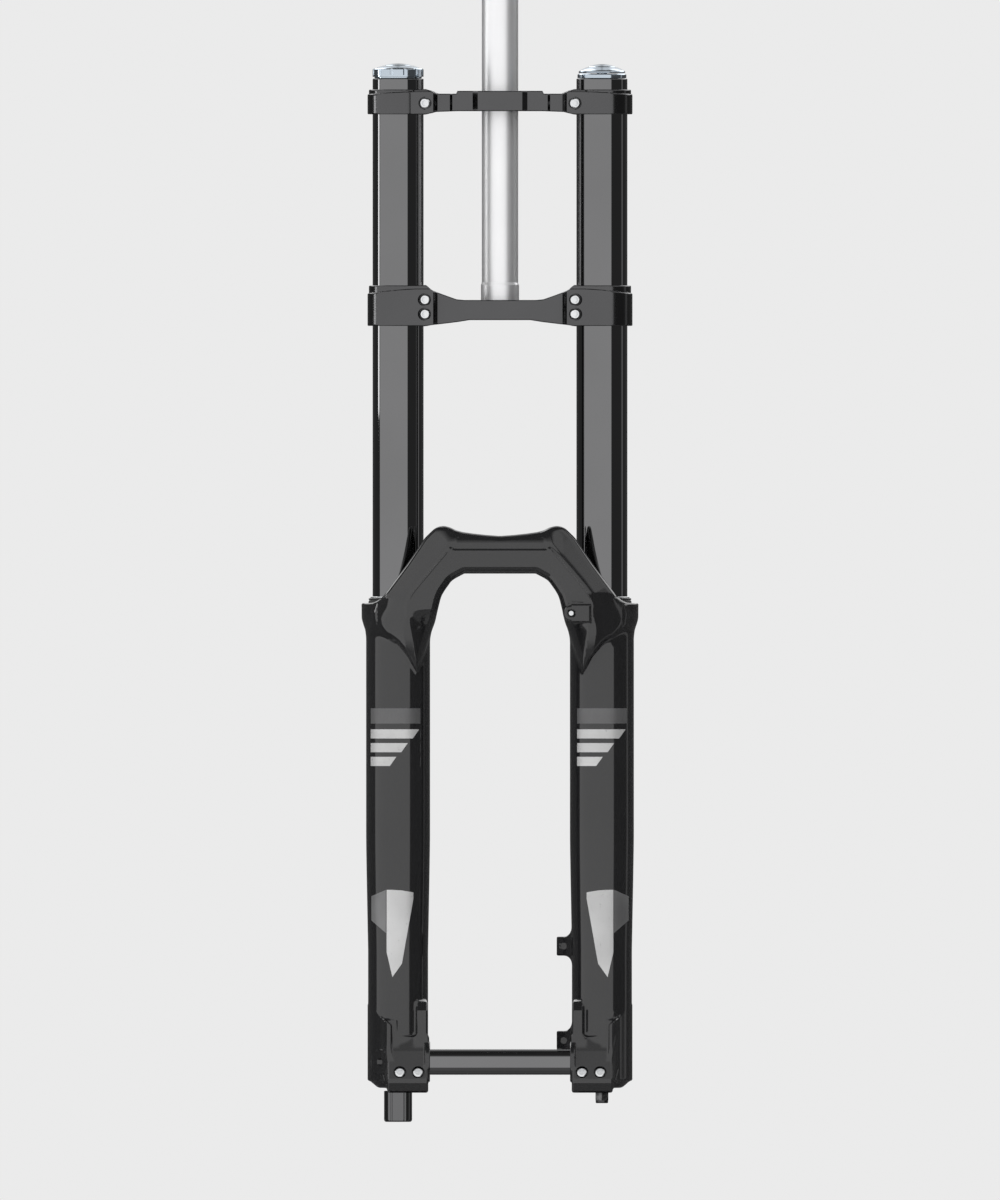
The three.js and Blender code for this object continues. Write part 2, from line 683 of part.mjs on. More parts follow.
function legSkin() {
  const chamfer = 6.8;
  const shoulder = legTop - COLLAR_HEIGHT;
  return turned([
    [0, legBottom], [legBottomR - 7.9, legBottom], [legBottomR, legBottom + chamfer],
    [legBottomR, legBottom + 108], [legTopR - 0.5, legBottom + 163], [legTopR, legBottom + 194],
    [legTopR, shoulder - 11], [legTopR + 1.2, shoulder - 6], [collarR, shoulder], [collarR, legTop - 0.8],
    [collarR - 0.8, legTop], [0, legTop],
  ]);
}

// The bore, its seal and foam counterbores, and the foot hole.
function legBore() {
  const sealFloor = legTop - COLLAR_HEIGHT + 2;
  const foamFloor = sealFloor - 8;
  return turned([
    [0, legBottom - 1], [FOOT_HOLE_RADIUS, legBottom - 1], [FOOT_HOLE_RADIUS, legFloor], [cavityR, legFloor],
    [cavityR, foamFloor], [cavityR + 1.6, foamFloor], [cavityR + 1.6, sealFloor], [cavityR + 3.2, sealFloor],
    [cavityR + 3.2, legTop + 90], [0, legTop + 90],
  ]);
}

// Right half of the arch as the front view shows it, from the top centre round to the bottom centre.
function archHalf() {
  const at = (inset, rise) => new THREE.Vector2(legX - inset, legTop + rise);
  const path = new THREE.Path();
  path.moveTo(0, legTop + 52.7);
  path.quadraticCurveTo(legX - 58, legTop + 53, ...at(40, 59.2).toArray());
  path.quadraticCurveTo(...at(30, 62.5).toArray(), ...at(21, 51.1).toArray());
  path.lineTo(...at(7.2, 30.7).toArray());
  path.lineTo(...at(-10.1, 7.4).toArray());
  path.lineTo(...at(-12, ARCH_ROOT).toArray());
  path.lineTo(...at(33.6, ARCH_ROOT).toArray());
  path.lineTo(...at(35.9, 8.7).toArray());
  path.quadraticCurveTo(...at(41, 22.5).toArray(), ...at(52, 23.1).toArray());
  path.lineTo(0, legTop + 23.1);
  return path.getPoints(4).map((p) => [p.x, p.y]);
}

// The pocket behind the arch, a wall's thickness inside its outline.
function archPocketHalf() {
  return [
    [0, legTop + 52.7 - ARCH_WALL],
    [legX - 48, legTop + 49.5],
    [legX - 34, legTop + 52],
    [legX - 23, legTop + 42],
    [legX - 6, legTop + 17],
    [legX - 24, legTop + 10],
    [legX - 34, legTop + 24],
    [legX - 45, legTop + 23.1 + ARCH_WALL + 2],
    [0, legTop + 23.1 + ARCH_WALL],
  ];
}

const mirrored = (half) => [...half, ...mirrorX(half)];

function arch() {
  const plate = prism(mirrored(archHalf()), 'front', archFront, archRear);
  const pocket = prism(mirrored(archPocketHalf()), 'front', archRear - ARCH_DEPTH * ARCH_POCKET_SHARE, archRear + 5);
  return plate.subtract(pocket);
}

// The root of the arch: it runs back over the collar and down the front of the leg to a point.
function archFoot(side) {
  const at = (inset, y, rise) => [side * (legX - inset), y, legTop + rise];
  return hull([
    at(33.6, archFront + 0.5, ARCH_ROOT), at(-11, archFront + 0.5, ARCH_ROOT),
    at(33.6, archRear, ARCH_ROOT), at(-11, archRear, ARCH_ROOT),
    at(30.9, archFront + 4, -8), at(-12, archFront + 9, -8),
    at(30.6, legY - 8, -4), at(28.4, legY - 6, -17), at(25.6, legY - 6, -25),
    at(-20, legY - 14, -4), at(-20, legY - 14, -18), at(-8, legY - 23, -30),
    at(16, legY - 20, -55),
  ]);
}

// Side outline of an axle clamp block: sloped shoulder, tilted bolt face, rounded toe.
function clampBlock(side) {
  const faceRun = Math.tan(BLOCK_FACE_TILT) * (BLOCK_FACE_TOP + BLOCK_FACE_BOTTOM);
  const nose = axleY - axleR - NOSE_WALL;
  const toe = axleZ - axleR - TOE_WALL;
  const heel = legY - REBOUND_KNOB_RADIUS - HEEL_GAP;
  const outline = [
    [legY + 2, axleZ + BLOCK_RISE], [nose + faceRun + 5, axleZ + BLOCK_RISE],
    [nose + faceRun, axleZ + BLOCK_FACE_TOP], [nose, axleZ - BLOCK_FACE_BOTTOM],
    [nose + 1.4, axleZ - BLOCK_FACE_BOTTOM - 4.5], [nose + 6, toe + BLOCK_LIP * 0.4], [nose + 10, toe],
    [heel - 1.5, toe], [heel, toe + BLOCK_LIP * 0.5], [heel, legBottom + 1], [legY + 2, legBottom + 4],
  ];
  const [a, b] = [side * (legX - BLOCK_INNER), side * (legX + BLOCK_OUTER)].sort((p, q) => p - q);
  return prism(outline, 'side', a, b);
}

// Ribs that run from the block up the front of the leg, with an open channel between them.
function blockRib(side, insetFrom, insetTo, rise) {
  const nose = axleY - 9;
  const legFront = legY - legBottomR;
  const outline = [
    [legFront + 12, axleZ + BLOCK_RISE - 4], [nose - 1, axleZ + BLOCK_RISE - 4], [nose + 1.5, axleZ + rise * 0.7],
    [legFront + 3, axleZ + rise], [legFront + 12, axleZ + rise],
  ];
  const [a, b] = [side * (legX - insetFrom), side * (legX - insetTo)].sort((p, q) => p - q);
  return prism(outline, 'side', a, b);
}

function hubBoss(side) {
  const reach = HUB_FACE_STEP + 16;
  const disc = drilled(new THREE.Vector3((side * HUB_WIDTH) / 2, axleY, axleZ),
    new THREE.Vector3(side, 0, 0), axleR + BOSS_WALL, reach, ROUND);
  return disc;
}

// A disc brake post: its back face takes the caliper.
function brakePost(centreZ) {
  const inner = legX - POST_INNER;
  const outline = [
    [inner, legY + 12], [inner, POST_REAR], [legX - 18, POST_REAR], [legX - 10, legY + 16], [legX - 12, legY],
    [inner + 10, legY + 4],
  ];
  const post = prism(outline, 'plan', centreZ - POST_HEIGHT / 2, centreZ + POST_HEIGHT / 2);
  const hole = drilled(new THREE.Vector3(legX - POST_HOLE_INNER, POST_REAR + 1, centreZ),
    new THREE.Vector3(0, -1, 0), POST_HOLE_RADIUS, 15);
  return post.subtract(hole);
}

const lowerPostZ = axleZ + POST_TO_AXLE;
const lugFront = archFront + 4;
const lugScrewDirection = new THREE.Vector3(0, 1, 0);
const lugScrewHead = () => new THREE.Vector3(legX - LUG_OFFSET, lugFront - 0.4, legTop - LUG_DROP);

function hoseLug() {
  const centre = new THREE.Vector3(legX - LUG_OFFSET, lugFront, legTop - LUG_DROP);
  const x = centre.x;
  const z = centre.z;
  return union([
    drilled(centre, lugScrewDirection, LUG_RADIUS, archRear - lugFront + 3, 24),
    block([x, lugFront, z - 6.4], [x + 9, archRear, z + 6.4]),
  ]);
}

const axleBoltDirection = new THREE.Vector3(0, Math.cos(BLOCK_FACE_TILT), -Math.sin(BLOCK_FACE_TILT));
const axleBoltHead = (side, inset) =>
  new THREE.Vector3(side * (legX - inset), axleY - axleR - AXLE_BOLT_FORWARD, axleZ - axleR + AXLE_BOLT_RAISE);

// The pinch slit runs from the axle bore down through the toe, square to the bolts.
function axleSlit(side) {
  const width = 1.6;
  const geometry = new THREE.BoxGeometry(80, width, 40);
  geometry.translate(0, 0, -20 - axleR * 0.8);
  geometry.rotateX(-BLOCK_FACE_TILT);
  geometry.translate(side * legX, axleY, axleZ);
  const reach = block([-legX * 2, axleY - 40, axleZ - 60], [legX * 2, legY - 8, axleZ]);
  return solid(geometry).intersect(reach);
}

function legOutside(side) {
  return union([
    legSkin().translate([side * legX, legY, 0]),
    archFoot(side),
    clampBlock(side),
    blockRib(side, 23.2, 14.4, 47.5),
    blockRib(side, -1.7, -9.6, 39.5),
    hubBoss(side),
    cylinder(5.5, 0, 5, 20).rotate([-90, 0, 0]).translate([side * legX, legY + legTopR - 3.5, bleedZ]),
  ]);
}

const bleedZ = legTop - COLLAR_HEIGHT - 24;
const bleedHead = (side) => new THREE.Vector3(side * legX, legY + legTopR + 2, bleedZ);
const bleedDirection = new THREE.Vector3(0, -1, 0);

function lowerCasting() {
  const outside = union([
    legOutside(-1),
    legOutside(1),
    arch(),
    hoseLug(),
    brakePost(lowerPostZ),
    brakePost(lowerPostZ + POST_SPACING),
  ]);
  const tools = [
    drilled(new THREE.Vector3(-300, axleY, axleZ), new THREE.Vector3(1, 0, 0), axleR + RUNNING_GAP, 600, ROUND),
    boltHole(lugScrewHead(), lugScrewDirection, 1.9, LUG_SCREW_RADIUS, 2, 12),
  ];
  for (const side of [-1, 1]) {
    tools.push(legBore().translate([side * legX, legY, 0]));
    tools.push(axleSlit(side));
    tools.push(boltHole(bleedHead(side), bleedDirection, BLEED_SHANK, BLEED_HEAD, 2, BLEED_LENGTH + 2));
    for (const inset of AXLE_BOLT_STATIONS) {
      tools.push(boltHole(axleBoltHead(side, inset), axleBoltDirection, PINCH_BOLT_RADIUS, PINCH_HEAD_RADIUS,
        PINCH_HEAD_HEIGHT - 1, AXLE_BOLT_LENGTH));
    }
  }
  return cut(outside, tools);
}

// ---- Seals, bushings and feet, on each leg's own axis ----

function wiperSeal() {
  const low = legTop - COLLAR_HEIGHT + 2 + REST_GAP;
  const inner = stanchionR + RUNNING_GAP;
  return turned([
    [inner, low], [cavityR + 3, low], [cavityR + 3, legTop - 0.3], [cavityR + 1.9, legTop + 0.2],
    [cavityR + 1.9, sealTop - 1.2], [inner + 1, sealTop], [inner, sealTop], [inner, low],
  ]);
}

function foamRing() {
  const high = legTop - COLLAR_HEIGHT + 2;
  return ring(cavityR + 1.4, stanchionR + RUNNING_GAP, high - 7.4, high - 0.4);
}

function bushing(high, height) {
  return ring(cavityR - PRESS_GAP, stanchionR + RUNNING_GAP, high - height, high);
}

const BUSHING_HEIGHT = 20;
const WASHER_THICKNESS = 1.2;
const FOOT_NUT_RADIUS = 5.25;
const footNutTop = legBottom - REST_GAP * 2 - WASHER_THICKNESS;

function crushWasher() {
  return ring(8, SHAFT_END_RADIUS + 0.2, legBottom - REST_GAP - WASHER_THICKNESS, legBottom - REST_GAP, INNER_ROUND);
}

function footNut(radius) {
  const hexagon = cylinder(radius, legBottom - 12, footNutTop, 6);
  const flange = cylinder(radius + 1.4, footNutTop - 1.6, footNutTop, INNER_ROUND);
  const bore = cylinder(SHAFT_END_RADIUS + 0.1, legBottom - 20, legBottom, INNER_ROUND);
  return hexagon.add(flange).subtract(bore);
}

function reboundKnob() {
  const high = legBottom - WASHER_THICKNESS - 1;
  const low = legBottom - REBOUND_KNOB_LENGTH;
  const hollow = REBOUND_KNOB_RADIUS - 2;
  const bar = ADJUSTER_ROD_RADIUS + 0.3;
  return turned([
    [bar, low + 3], [0, low + 3], [0, low], [REBOUND_KNOB_RADIUS - 1.8, low], [REBOUND_KNOB_RADIUS, low + 1.8],
    [REBOUND_KNOB_RADIUS, high], [hollow, high], [hollow, low + 11], [bar, low + 11], [bar, low + 3],
  ]);
}

function adjusterRod() {
  return cylinder(ADJUSTER_ROD_RADIUS, legBottom - REBOUND_KNOB_LENGTH + 3.3, pistonRest + PISTON_HEIGHT, 12);
}

function buildLegs() {
  for (const [leg, side, hand] of [[damperLeg, -1, 'right'], [springLeg, 1, 'left']]) {
    place(leg, `stanchion_${hand}`, stanchion(), anodisedBlack);
    place(leg, `wiper_seal_${hand}`, wiperSeal(), rubber);
    place(leg, `foam_ring_${hand}`, foamRing(), foam);
    place(leg, `upper_bushing_${hand}`, bushing(legTop - COLLAR_HEIGHT - 11, BUSHING_HEIGHT), bronze);
    place(leg, `lower_bushing_${hand}`, bushing(stanchionBottom + BUSHING_HEIGHT + 6, BUSHING_HEIGHT), bronze);
    place(leg, `crush_washer_${hand}`, crushWasher(), silver);
    place(leg, `foot_nut_${hand}`, footNut(FOOT_NUT_RADIUS), satinGrey);
    placeBolt(`bleed_screw_${hand}`, bleedHead(side), bleedDirection, capBolt(BLEED_SHANK, BLEED_HEAD, 2, BLEED_LENGTH), satinGrey);
    AXLE_BOLT_STATIONS.forEach((inset, k) => {
      const bolt = capBolt(PINCH_BOLT_RADIUS, PINCH_HEAD_RADIUS, PINCH_HEAD_HEIGHT - 1, AXLE_BOLT_LENGTH);
      placeBolt(`axle_clamp_bolt_${hand}_${k + 1}`, axleBoltHead(side, inset), axleBoltDirection, bolt);
    });
  }
  place(fork, 'lower_casting', lowerCasting(), glossBlack);
  placeBolt('hose_guide_screw', lugScrewHead(), lugScrewDirection, capBolt(1.9, LUG_SCREW_RADIUS, 2, 11));
}

function buildDamper() {
  place(damperLeg, 'damper_top_cap', damperTopCap(), blueSilver);
  place(damperLeg, 'compression_knob', compressionKnob(), blueSilver);
  place(damperLeg, 'damper_cartridge_tube', cartridgeTube(), silver);
  place(damperLeg, 'compression_valve', compressionValve(), silver);
  place(damperLeg, 'floating_piston', floatingPiston(), nylon);
  place(damperLeg, 'floating_piston_spring', floatingPistonSpring(), silver);
  place(damperLeg, 'damper_seal_head', damperSealHead(), anodisedBlack);
  place(damperLeg, 'damper_top_out_bumper', topOutBumper(cartridgeBottom + 10.3, pistonRest - REST_GAP), rubber);
  place(damperLeg, 'rebound_piston', reboundPiston(), bronze);
  place(damperLeg, 'damper_shaft', damperShaft(), silver);
  place(damperLeg, 'rebound_adjuster_rod', adjusterRod(), silver);
  place(damperLeg, 'rebound_knob', reboundKnob(), glossBlack);
}

function buildAirSpring() {
  place(springLeg, 'spring_top_cap', springTopCap(), blueSilver);
  place(springLeg, 'air_cap', airCap(), blueSilver);
  place(springLeg, 'air_valve_body', valveBody(), silver);
  place(springLeg, 'valve_core_pin', valvePin(), bronze);
  place(springLeg, 'volume_spacer', volumeSpacer(), nylon);
  place(springLeg, 'air_piston', airPiston(), nylon);
  place(springLeg, 'air_shaft', airShaft(), silver);
  place(springLeg, 'air_seal_head', airSealHead(), anodisedBlack);
  place(springLeg, 'air_top_out_bumper', topOutBumper(stanchionBottom + 22.3, airPistonRest - REST_GAP), rubber);
}

// A hollow axle with a hex socket in its right-hand end.
function axle() {
  const right = -(legX + BLOCK_OUTER + 2);
  const left = legX + BLOCK_OUTER - 1;
  const boreR = axleR - 2.5;
  const tube = turned([
    [0, right + 12], [boreR, right + 12], [boreR, left], [axleR - 0.8, left], [axleR, left - 0.8],
    [axleR, right + 0.8], [axleR - 0.8, right], [0, right],
  ].reverse());
  const opened = tube.subtract(cylinder(3.5, right - 1, right + 14, 6));
  return opened.rotate([0, 90, 0]).translate([0, axleY, axleZ]);
}

buildCrowns();
buildLegs();
buildDamper();
buildAirSpring();
place(fork, 'thru_axle', axle(), anodisedBlack);

export default fork;
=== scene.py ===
import math

import bmesh
import bpy
import numpy as np
from mathutils import Matrix, Vector


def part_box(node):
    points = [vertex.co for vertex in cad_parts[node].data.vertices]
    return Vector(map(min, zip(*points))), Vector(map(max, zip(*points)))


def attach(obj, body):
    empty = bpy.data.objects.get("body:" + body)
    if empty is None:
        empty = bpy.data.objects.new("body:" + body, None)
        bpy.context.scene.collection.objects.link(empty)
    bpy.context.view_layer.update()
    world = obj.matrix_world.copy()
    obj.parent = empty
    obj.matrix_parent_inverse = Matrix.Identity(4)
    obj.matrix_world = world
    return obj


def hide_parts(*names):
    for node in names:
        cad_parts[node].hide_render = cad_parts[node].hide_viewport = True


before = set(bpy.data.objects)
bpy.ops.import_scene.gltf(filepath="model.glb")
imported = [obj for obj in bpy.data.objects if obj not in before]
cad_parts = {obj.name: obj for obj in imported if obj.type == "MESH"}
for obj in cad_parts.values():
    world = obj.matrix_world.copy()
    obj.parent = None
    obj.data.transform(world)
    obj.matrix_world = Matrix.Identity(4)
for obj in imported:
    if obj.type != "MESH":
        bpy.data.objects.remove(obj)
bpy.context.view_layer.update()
print("frame loaded:", len(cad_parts), "nodes")

mm = 0.001


def boxOf(node):
    # lowest and highest corners in millimetres
    low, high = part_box(node)
    return np.array(low) / mm, np.array(high) / mm


# places that every piece takes from the frame
stanchionLow, stanchionHigh = boxOf("stanchion_left")
legX = (stanchionLow[0] + stanchionHigh[0]) / 2
legY = (stanchionLow[1] + stanchionHigh[1]) / 2
stanchionR = (stanchionHigh[0] - stanchionLow[0]) / 2
steererLow, steererHigh = boxOf("steerer_tube")
raceR = (steererHigh[0] - steererLow[0]) / 2
lowerCrownLow, lowerCrownHigh = boxOf("lower_crown")
upperCrownLow, upperCrownHigh = boxOf("upper_crown")
castingLow = boxOf("lower_casting")[0]
sealLow, sealHigh = boxOf("wiper_seal_left")
axleLow, axleHigh = boxOf("thru_axle")
axleR = (axleHigh[2] - axleLow[2]) / 2
axleY = (axleLow[1] + axleHigh[1]) / 2
axleZ = (axleLow[2] + axleHigh[2]) / 2
clampR = lowerCrownHigh[0] - legX
hands = ((-1, "right"), (1, "left"))


def newGroup(name, inputs, outputs):
    group = bpy.data.node_groups.new(name, "ShaderNodeTree")
    for socketName, value in inputs:
        socket = group.interface.new_socket(socketName, in_out="INPUT", socket_type="NodeSocketFloat")
        socket.default_value = value
    for socketName in outputs:
        group.interface.new_socket(socketName, in_out="OUTPUT", socket_type="NodeSocketFloat")
    start = group.nodes.new("NodeGroupInput")
    end = group.nodes.new("NodeGroupOutput")
    return group, start, end


def mathNode(tree, operation, a, b=None, clamp=False):
    node = tree.nodes.new("ShaderNodeMath")
    node.operation = operation
    node.use_clamp = clamp
    for index, value in enumerate((a, b)):
        if value is None:
            continue
        if isinstance(value, (int, float)):
            node.inputs[index].default_value = value
        else:
            tree.links.new(value, node.inputs[index])
    return node.outputs[0]


def objectPoint(tree, scale):
    coords = tree.nodes.new("ShaderNodeTexCoord")
    mapping = tree.nodes.new("ShaderNodeMapping")
    mapping.inputs["Scale"].default_value = scale
    tree.links.new(coords.outputs["Object"], mapping.inputs["Vector"])
    return mapping.outputs["Vector"]


def noiseNode(tree, vector, scale, detail, roughness=0.5):
    noise = tree.nodes.new("ShaderNodeTexNoise")
    noise.inputs["Detail"].default_value = detail
    noise.inputs["Roughness"].default_value = roughness
    tree.links.new(vector, noise.inputs["Vector"])
    if isinstance(scale, (int, float)):
        noise.inputs["Scale"].default_value = scale
    else:
        tree.links.new(scale, noise.inputs["Scale"])
    return noise.outputs["Fac"]


def makeGrainGroup():
    # slow tone drift and fine grain over any surface
    group, start, end = newGroup("surfaceGrain", [("Scale", 900.0)], ["Tone", "Grain"])
    point = objectPoint(group, (1, 1, 1))
    group.links.new(noiseNode(group, point, 14, 3), end.inputs["Tone"])
    group.links.new(noiseNode(group, point, start.outputs["Scale"], 4, 0.6), end.inputs["Grain"])
    return group


def makeTurnedGroup():
    # fine rings round an upright tube, as a lathe or a polishing belt leaves
    group, start, end = newGroup("turnedRings", [("Scale", 60.0)], ["Rings", "Streaks"])
    rings = noiseNode(group, objectPoint(group, (1, 1, 160)), start.outputs["Scale"], 3, 0.7)
    streaks = noiseNode(group, objectPoint(group, (30, 30, 0.6)), start.outputs["Scale"], 2, 0.5)
    group.links.new(rings, end.inputs["Rings"])
    group.links.new(streaks, end.inputs["Streaks"])
    return group


def makeWearGroup():
    # rubbed edges: takes how sharply the surface turns, gives a broken mask
    group, start, end = newGroup("edgeWear", [("Pointiness", 0.5), ("Reach", 0.53)], ["Mask"])
    above = mathNode(group, "SUBTRACT", start.outputs["Pointiness"], start.outputs["Reach"])
    edge = mathNode(group, "MULTIPLY", above, 14.0, clamp=True)
    patches = noiseNode(group, objectPoint(group, (1, 1, 1)), 220, 5, 0.65)
    broken = mathNode(group, "MULTIPLY", mathNode(group, "SUBTRACT", patches, 0.42), 5.0, clamp=True)
    group.links.new(mathNode(group, "MULTIPLY", edge, broken), end.inputs["Mask"])
    return group


def makeSpeckleGroup():
    # small chips and pinholes in a printed graphic
    group, start, end = newGroup("printSpeckle", [("Coverage", 0.6)], ["Mask"])
    point = objectPoint(group, (1, 1, 1))
    coarse = noiseNode(group, point, 260, 8, 0.75)
    fine = noiseNode(group, point, 1300, 3, 0.6)
    coarseShare = mathNode(group, "MULTIPLY", coarse, 0.7)
    fineShare = mathNode(group, "MULTIPLY", fine, 0.3)
    mixed = mathNode(group, "ADD", coarseShare, fineShare)
    chips = mathNode(group, "SUBTRACT", mixed, start.outputs["Coverage"])
    group.links.new(mathNode(group, "MULTIPLY", chips, 16.0, clamp=True), end.inputs["Mask"])
    return group


grainGroup = makeGrainGroup()
turnedGroup = makeTurnedGroup()
wearGroup = makeWearGroup()
speckleGroup = makeSpeckleGroup()
print("node groups built")


def placeGroup(tree, group, **values):
    node = tree.nodes.new("ShaderNodeGroup")
    node.node_tree = group
    for name, value in values.items():
        if isinstance(value, (int, float)):
            node.inputs[name].default_value = value
        else:
            tree.links.new(value, node.inputs[name])
    return node


def ramp(tree, source, low, high, toLow, toHigh):
    node = tree.nodes.new("ShaderNodeMapRange")
    node.inputs["From Min"].default_value = low
    node.inputs["From Max"].default_value = high
    node.inputs["To Min"].default_value = toLow
    node.inputs["To Max"].default_value = toHigh
    tree.links.new(source, node.inputs["Value"])
    return node.outputs["Result"]


def mixColour(tree, factor, a, b):
    node = tree.nodes.new("ShaderNodeMix")
    node.data_type = "RGBA"
    tree.links.new(factor, node.inputs["Factor"])
    for socket, value in ((node.inputs["A"], a), (node.inputs["B"], b)):
        if isinstance(value, tuple):
            socket.default_value = (*value, 1)
        else:
            tree.links.new(value, socket)
    return node.outputs["Result"]


wearReach = 0.56


def makeFinish(name, look):
    # one finish: base colour drifting between two tones, grain in roughness and bump, rubbed edges
    material = bpy.data.materials.new(name)
    material.use_nodes = True
    tree = material.node_tree
    shader = tree.nodes["Principled BSDF"]
    shader.inputs["Metallic"].default_value = look["metallic"]
    shader.inputs["IOR"].default_value = look.get("ior", 1.5)
    grain = placeGroup(tree, grainGroup, Scale=look.get("grainScale", 900.0))
    drift = ramp(tree, grain.outputs["Tone"], 0.3, 0.7, 0, 1)
    colour = mixColour(tree, drift, look["tone"], look["toneTwo"])
    rough = ramp(tree, grain.outputs["Grain"], 0.3, 0.7, look["rough"][0], look["rough"][1])
    height = grain.outputs["Grain"]
    if "rings" in look:
        turned = placeGroup(tree, turnedGroup, Scale=look["rings"])
        height = turned.outputs["Rings"]
        rough = ramp(tree, turned.outputs["Rings"], 0.3, 0.7, look["rough"][0], look["rough"][1])
        shade = ramp(tree, turned.outputs["Streaks"], 0.35, 0.65, 0.0, look.get("streak", 0.08))
        colour = mixColour(tree, shade, colour, look["toneTwo"])
    if "wear" in look:
        geometry = tree.nodes.new("ShaderNodeNewGeometry")
        wear = placeGroup(tree, wearGroup, Pointiness=geometry.outputs["Pointiness"], Reach=wearReach)
        mask = mathNode(tree, "MULTIPLY", wear.outputs["Mask"], look["wearAmount"])
        colour = mixColour(tree, mask, colour, look["wear"])
    tree.links.new(colour, shader.inputs["Base Color"])
    tree.links.new(rough, shader.inputs["Roughness"])
    bump = tree.nodes.new("ShaderNodeBump")
    bump.inputs["Strength"].default_value = look.get("bump", 0.05)
    bump.inputs["Distance"].default_value = look.get("bumpDepth", 0.00002)
    tree.links.new(height, bump.inputs["Height"])
    tree.links.new(bump.outputs["Normal"], shader.inputs["Normal"])
    return material


finishes = {
    "glossPaint": dict(tone=(0.0115, 0.0115, 0.0122), toneTwo=(0.014, 0.014, 0.0148), metallic=0.0, ior=1.6,
                       rough=(0.06, 0.10), bump=0.012, grainScale=420.0,
                       wear=(0.10, 0.10, 0.105), wearAmount=0.25),
    "crownAnodise": dict(tone=(0.086, 0.086, 0.088), toneTwo=(0.095, 0.095, 0.097), metallic=1.0,
                         rough=(0.15, 0.20), bump=0.05, grainScale=1600.0,
                         wear=(0.22, 0.22, 0.23), wearAmount=0.35),
    "blackTube": dict(tone=(0.160, 0.160, 0.162), toneTwo=(0.170, 0.170, 0.173), metallic=1.0,
                      rough=(0.03, 0.05), bump=0.003, rings=40.0, streak=0.10),
    "brightAlloy": dict(tone=(0.90, 0.90, 0.905), toneTwo=(0.84, 0.84, 0.85), metallic=0.8,
                        rough=(0.36, 0.42), bump=0.06, rings=50.0, streak=0.25),
    "blueSilver": dict(tone=(0.50, 0.56, 0.62), toneTwo=(0.44, 0.50, 0.56), metallic=1.0,
                       rough=(0.08, 0.14), bump=0.08, grainScale=1800.0,
                       wear=(0.80, 0.82, 0.84), wearAmount=0.4),
    "boltSteel": dict(tone=(0.78, 0.79, 0.80), toneTwo=(0.66, 0.67, 0.68), metallic=1.0,
                      rough=(0.18, 0.30), bump=0.08, grainScale=1500.0,
                      wear=(0.9, 0.9, 0.9), wearAmount=0.3),
    "knobBlack": dict(tone=(0.12, 0.12, 0.122), toneTwo=(0.13, 0.13, 0.133), metallic=1.0,
                      rough=(0.05, 0.09), bump=0.005, rings=50.0, streak=0.1),
    "sealRubber": dict(tone=(0.012, 0.012, 0.012), toneTwo=(0.02, 0.02, 0.02), metallic=0.0,
                       rough=(0.45, 0.6), bump=0.3, grainScale=2500.0, bumpDepth=0.00004),
    "oiledFoam": dict(tone=(0.25, 0.24, 0.18), toneTwo=(0.34, 0.33, 0.26), metallic=0.0,
                      rough=(0.7, 0.95), bump=0.8, grainScale=1200.0, bumpDepth=0.0002),
    "bearingBronze": dict(tone=(0.36, 0.29, 0.16), toneTwo=(0.45, 0.37, 0.22), metallic=1.0,
                          rough=(0.3, 0.45), bump=0.1, rings=40.0),
    "mouldedNylon": dict(tone=(0.62, 0.61, 0.55), toneTwo=(0.7, 0.69, 0.64), metallic=0.0,
                         rough=(0.4, 0.5), bump=0.15, grainScale=1500.0),
    "blackSteel": dict(tone=(0.045, 0.045, 0.047), toneTwo=(0.07, 0.07, 0.072), metallic=1.0,
                       rough=(0.22, 0.34), bump=0.1, grainScale=1500.0,
                       wear=(0.4, 0.4, 0.4), wearAmount=0.4),
}
finish = {name: makeFinish(name, look) for name, look in finishes.items()}


def makePrint(name, bright, dull, coverage):
    # a printed graphic: its tone drifts at random between a brighter and a duller shade, with chips through
    # to the black
    material = bpy.data.materials.new(name)
    material.use_nodes = True
    tree = material.node_tree
    shader = tree.nodes["Principled BSDF"]
    shader.inputs["Metallic"].default_value = 0.35
    speckle = placeGroup(tree, speckleGroup, Coverage=coverage)
    grain = placeGroup(tree, grainGroup, Scale=700.0)
    body = mixColour(tree, ramp(tree, grain.outputs["Tone"], 0.35, 0.65, 0, 1), bright, dull)
    colour = mixColour(tree, speckle.outputs["Mask"], body, tuple(0.25 * value for value in dull))
    tree.links.new(colour, shader.inputs["Base Color"])
    tree.links.new(ramp(tree, grain.outputs["Grain"], 0.3, 0.7, 0.3, 0.45), shader.inputs["Roughness"])
    return material


printSilver = makePrint("printSilver", (0.62, 0.62, 0.62), (0.48, 0.48, 0.48), 0.6)
printDull = makePrint("printDull", (0.20, 0.20, 0.202), (0.12, 0.12, 0.122), 0.66)
printGrey = makePrint("printGrey", (0.13, 0.13, 0.132), (0.11, 0.11, 0.112), 0.66)
print("materials built:", len(bpy.data.materials))


def softMin(a, b, width):
    h = np.clip(0.5 + 0.5 * (b - a) / width, 0, 1)
    return b * (1 - h) + a * h - width * h * (1 - h)


def softMax(a, b, width):
    return -softMin(-a, -b, width)


def outlineDistance(u, v, points):
    # signed distance to a closed outline, negative inside
    nearest = None
    inside = None
    count = len(points)
    for i in range(count):
        au, av = points[i]
        bu, bv = points[(i + 1) % count]
        eu, ev = bu - au, bv - av
        wu, wv = u - au, v - av
        along = np.clip((wu * eu + wv * ev) / max(eu * eu + ev * ev, 1e-9), 0, 1)
        gap = (wu - eu * along) ** 2 + (wv - ev * along) ** 2
        crosses = ((av <= v) != (bv <= v)) & ((wu * ev - wv * eu) * np.sign(ev) < 0)
        nearest = gap if nearest is None else np.minimum(nearest, gap)
        inside = crosses if inside is None else inside ^ crosses
    return np.where(inside, -1.0, 1.0) * np.sqrt(nearest)


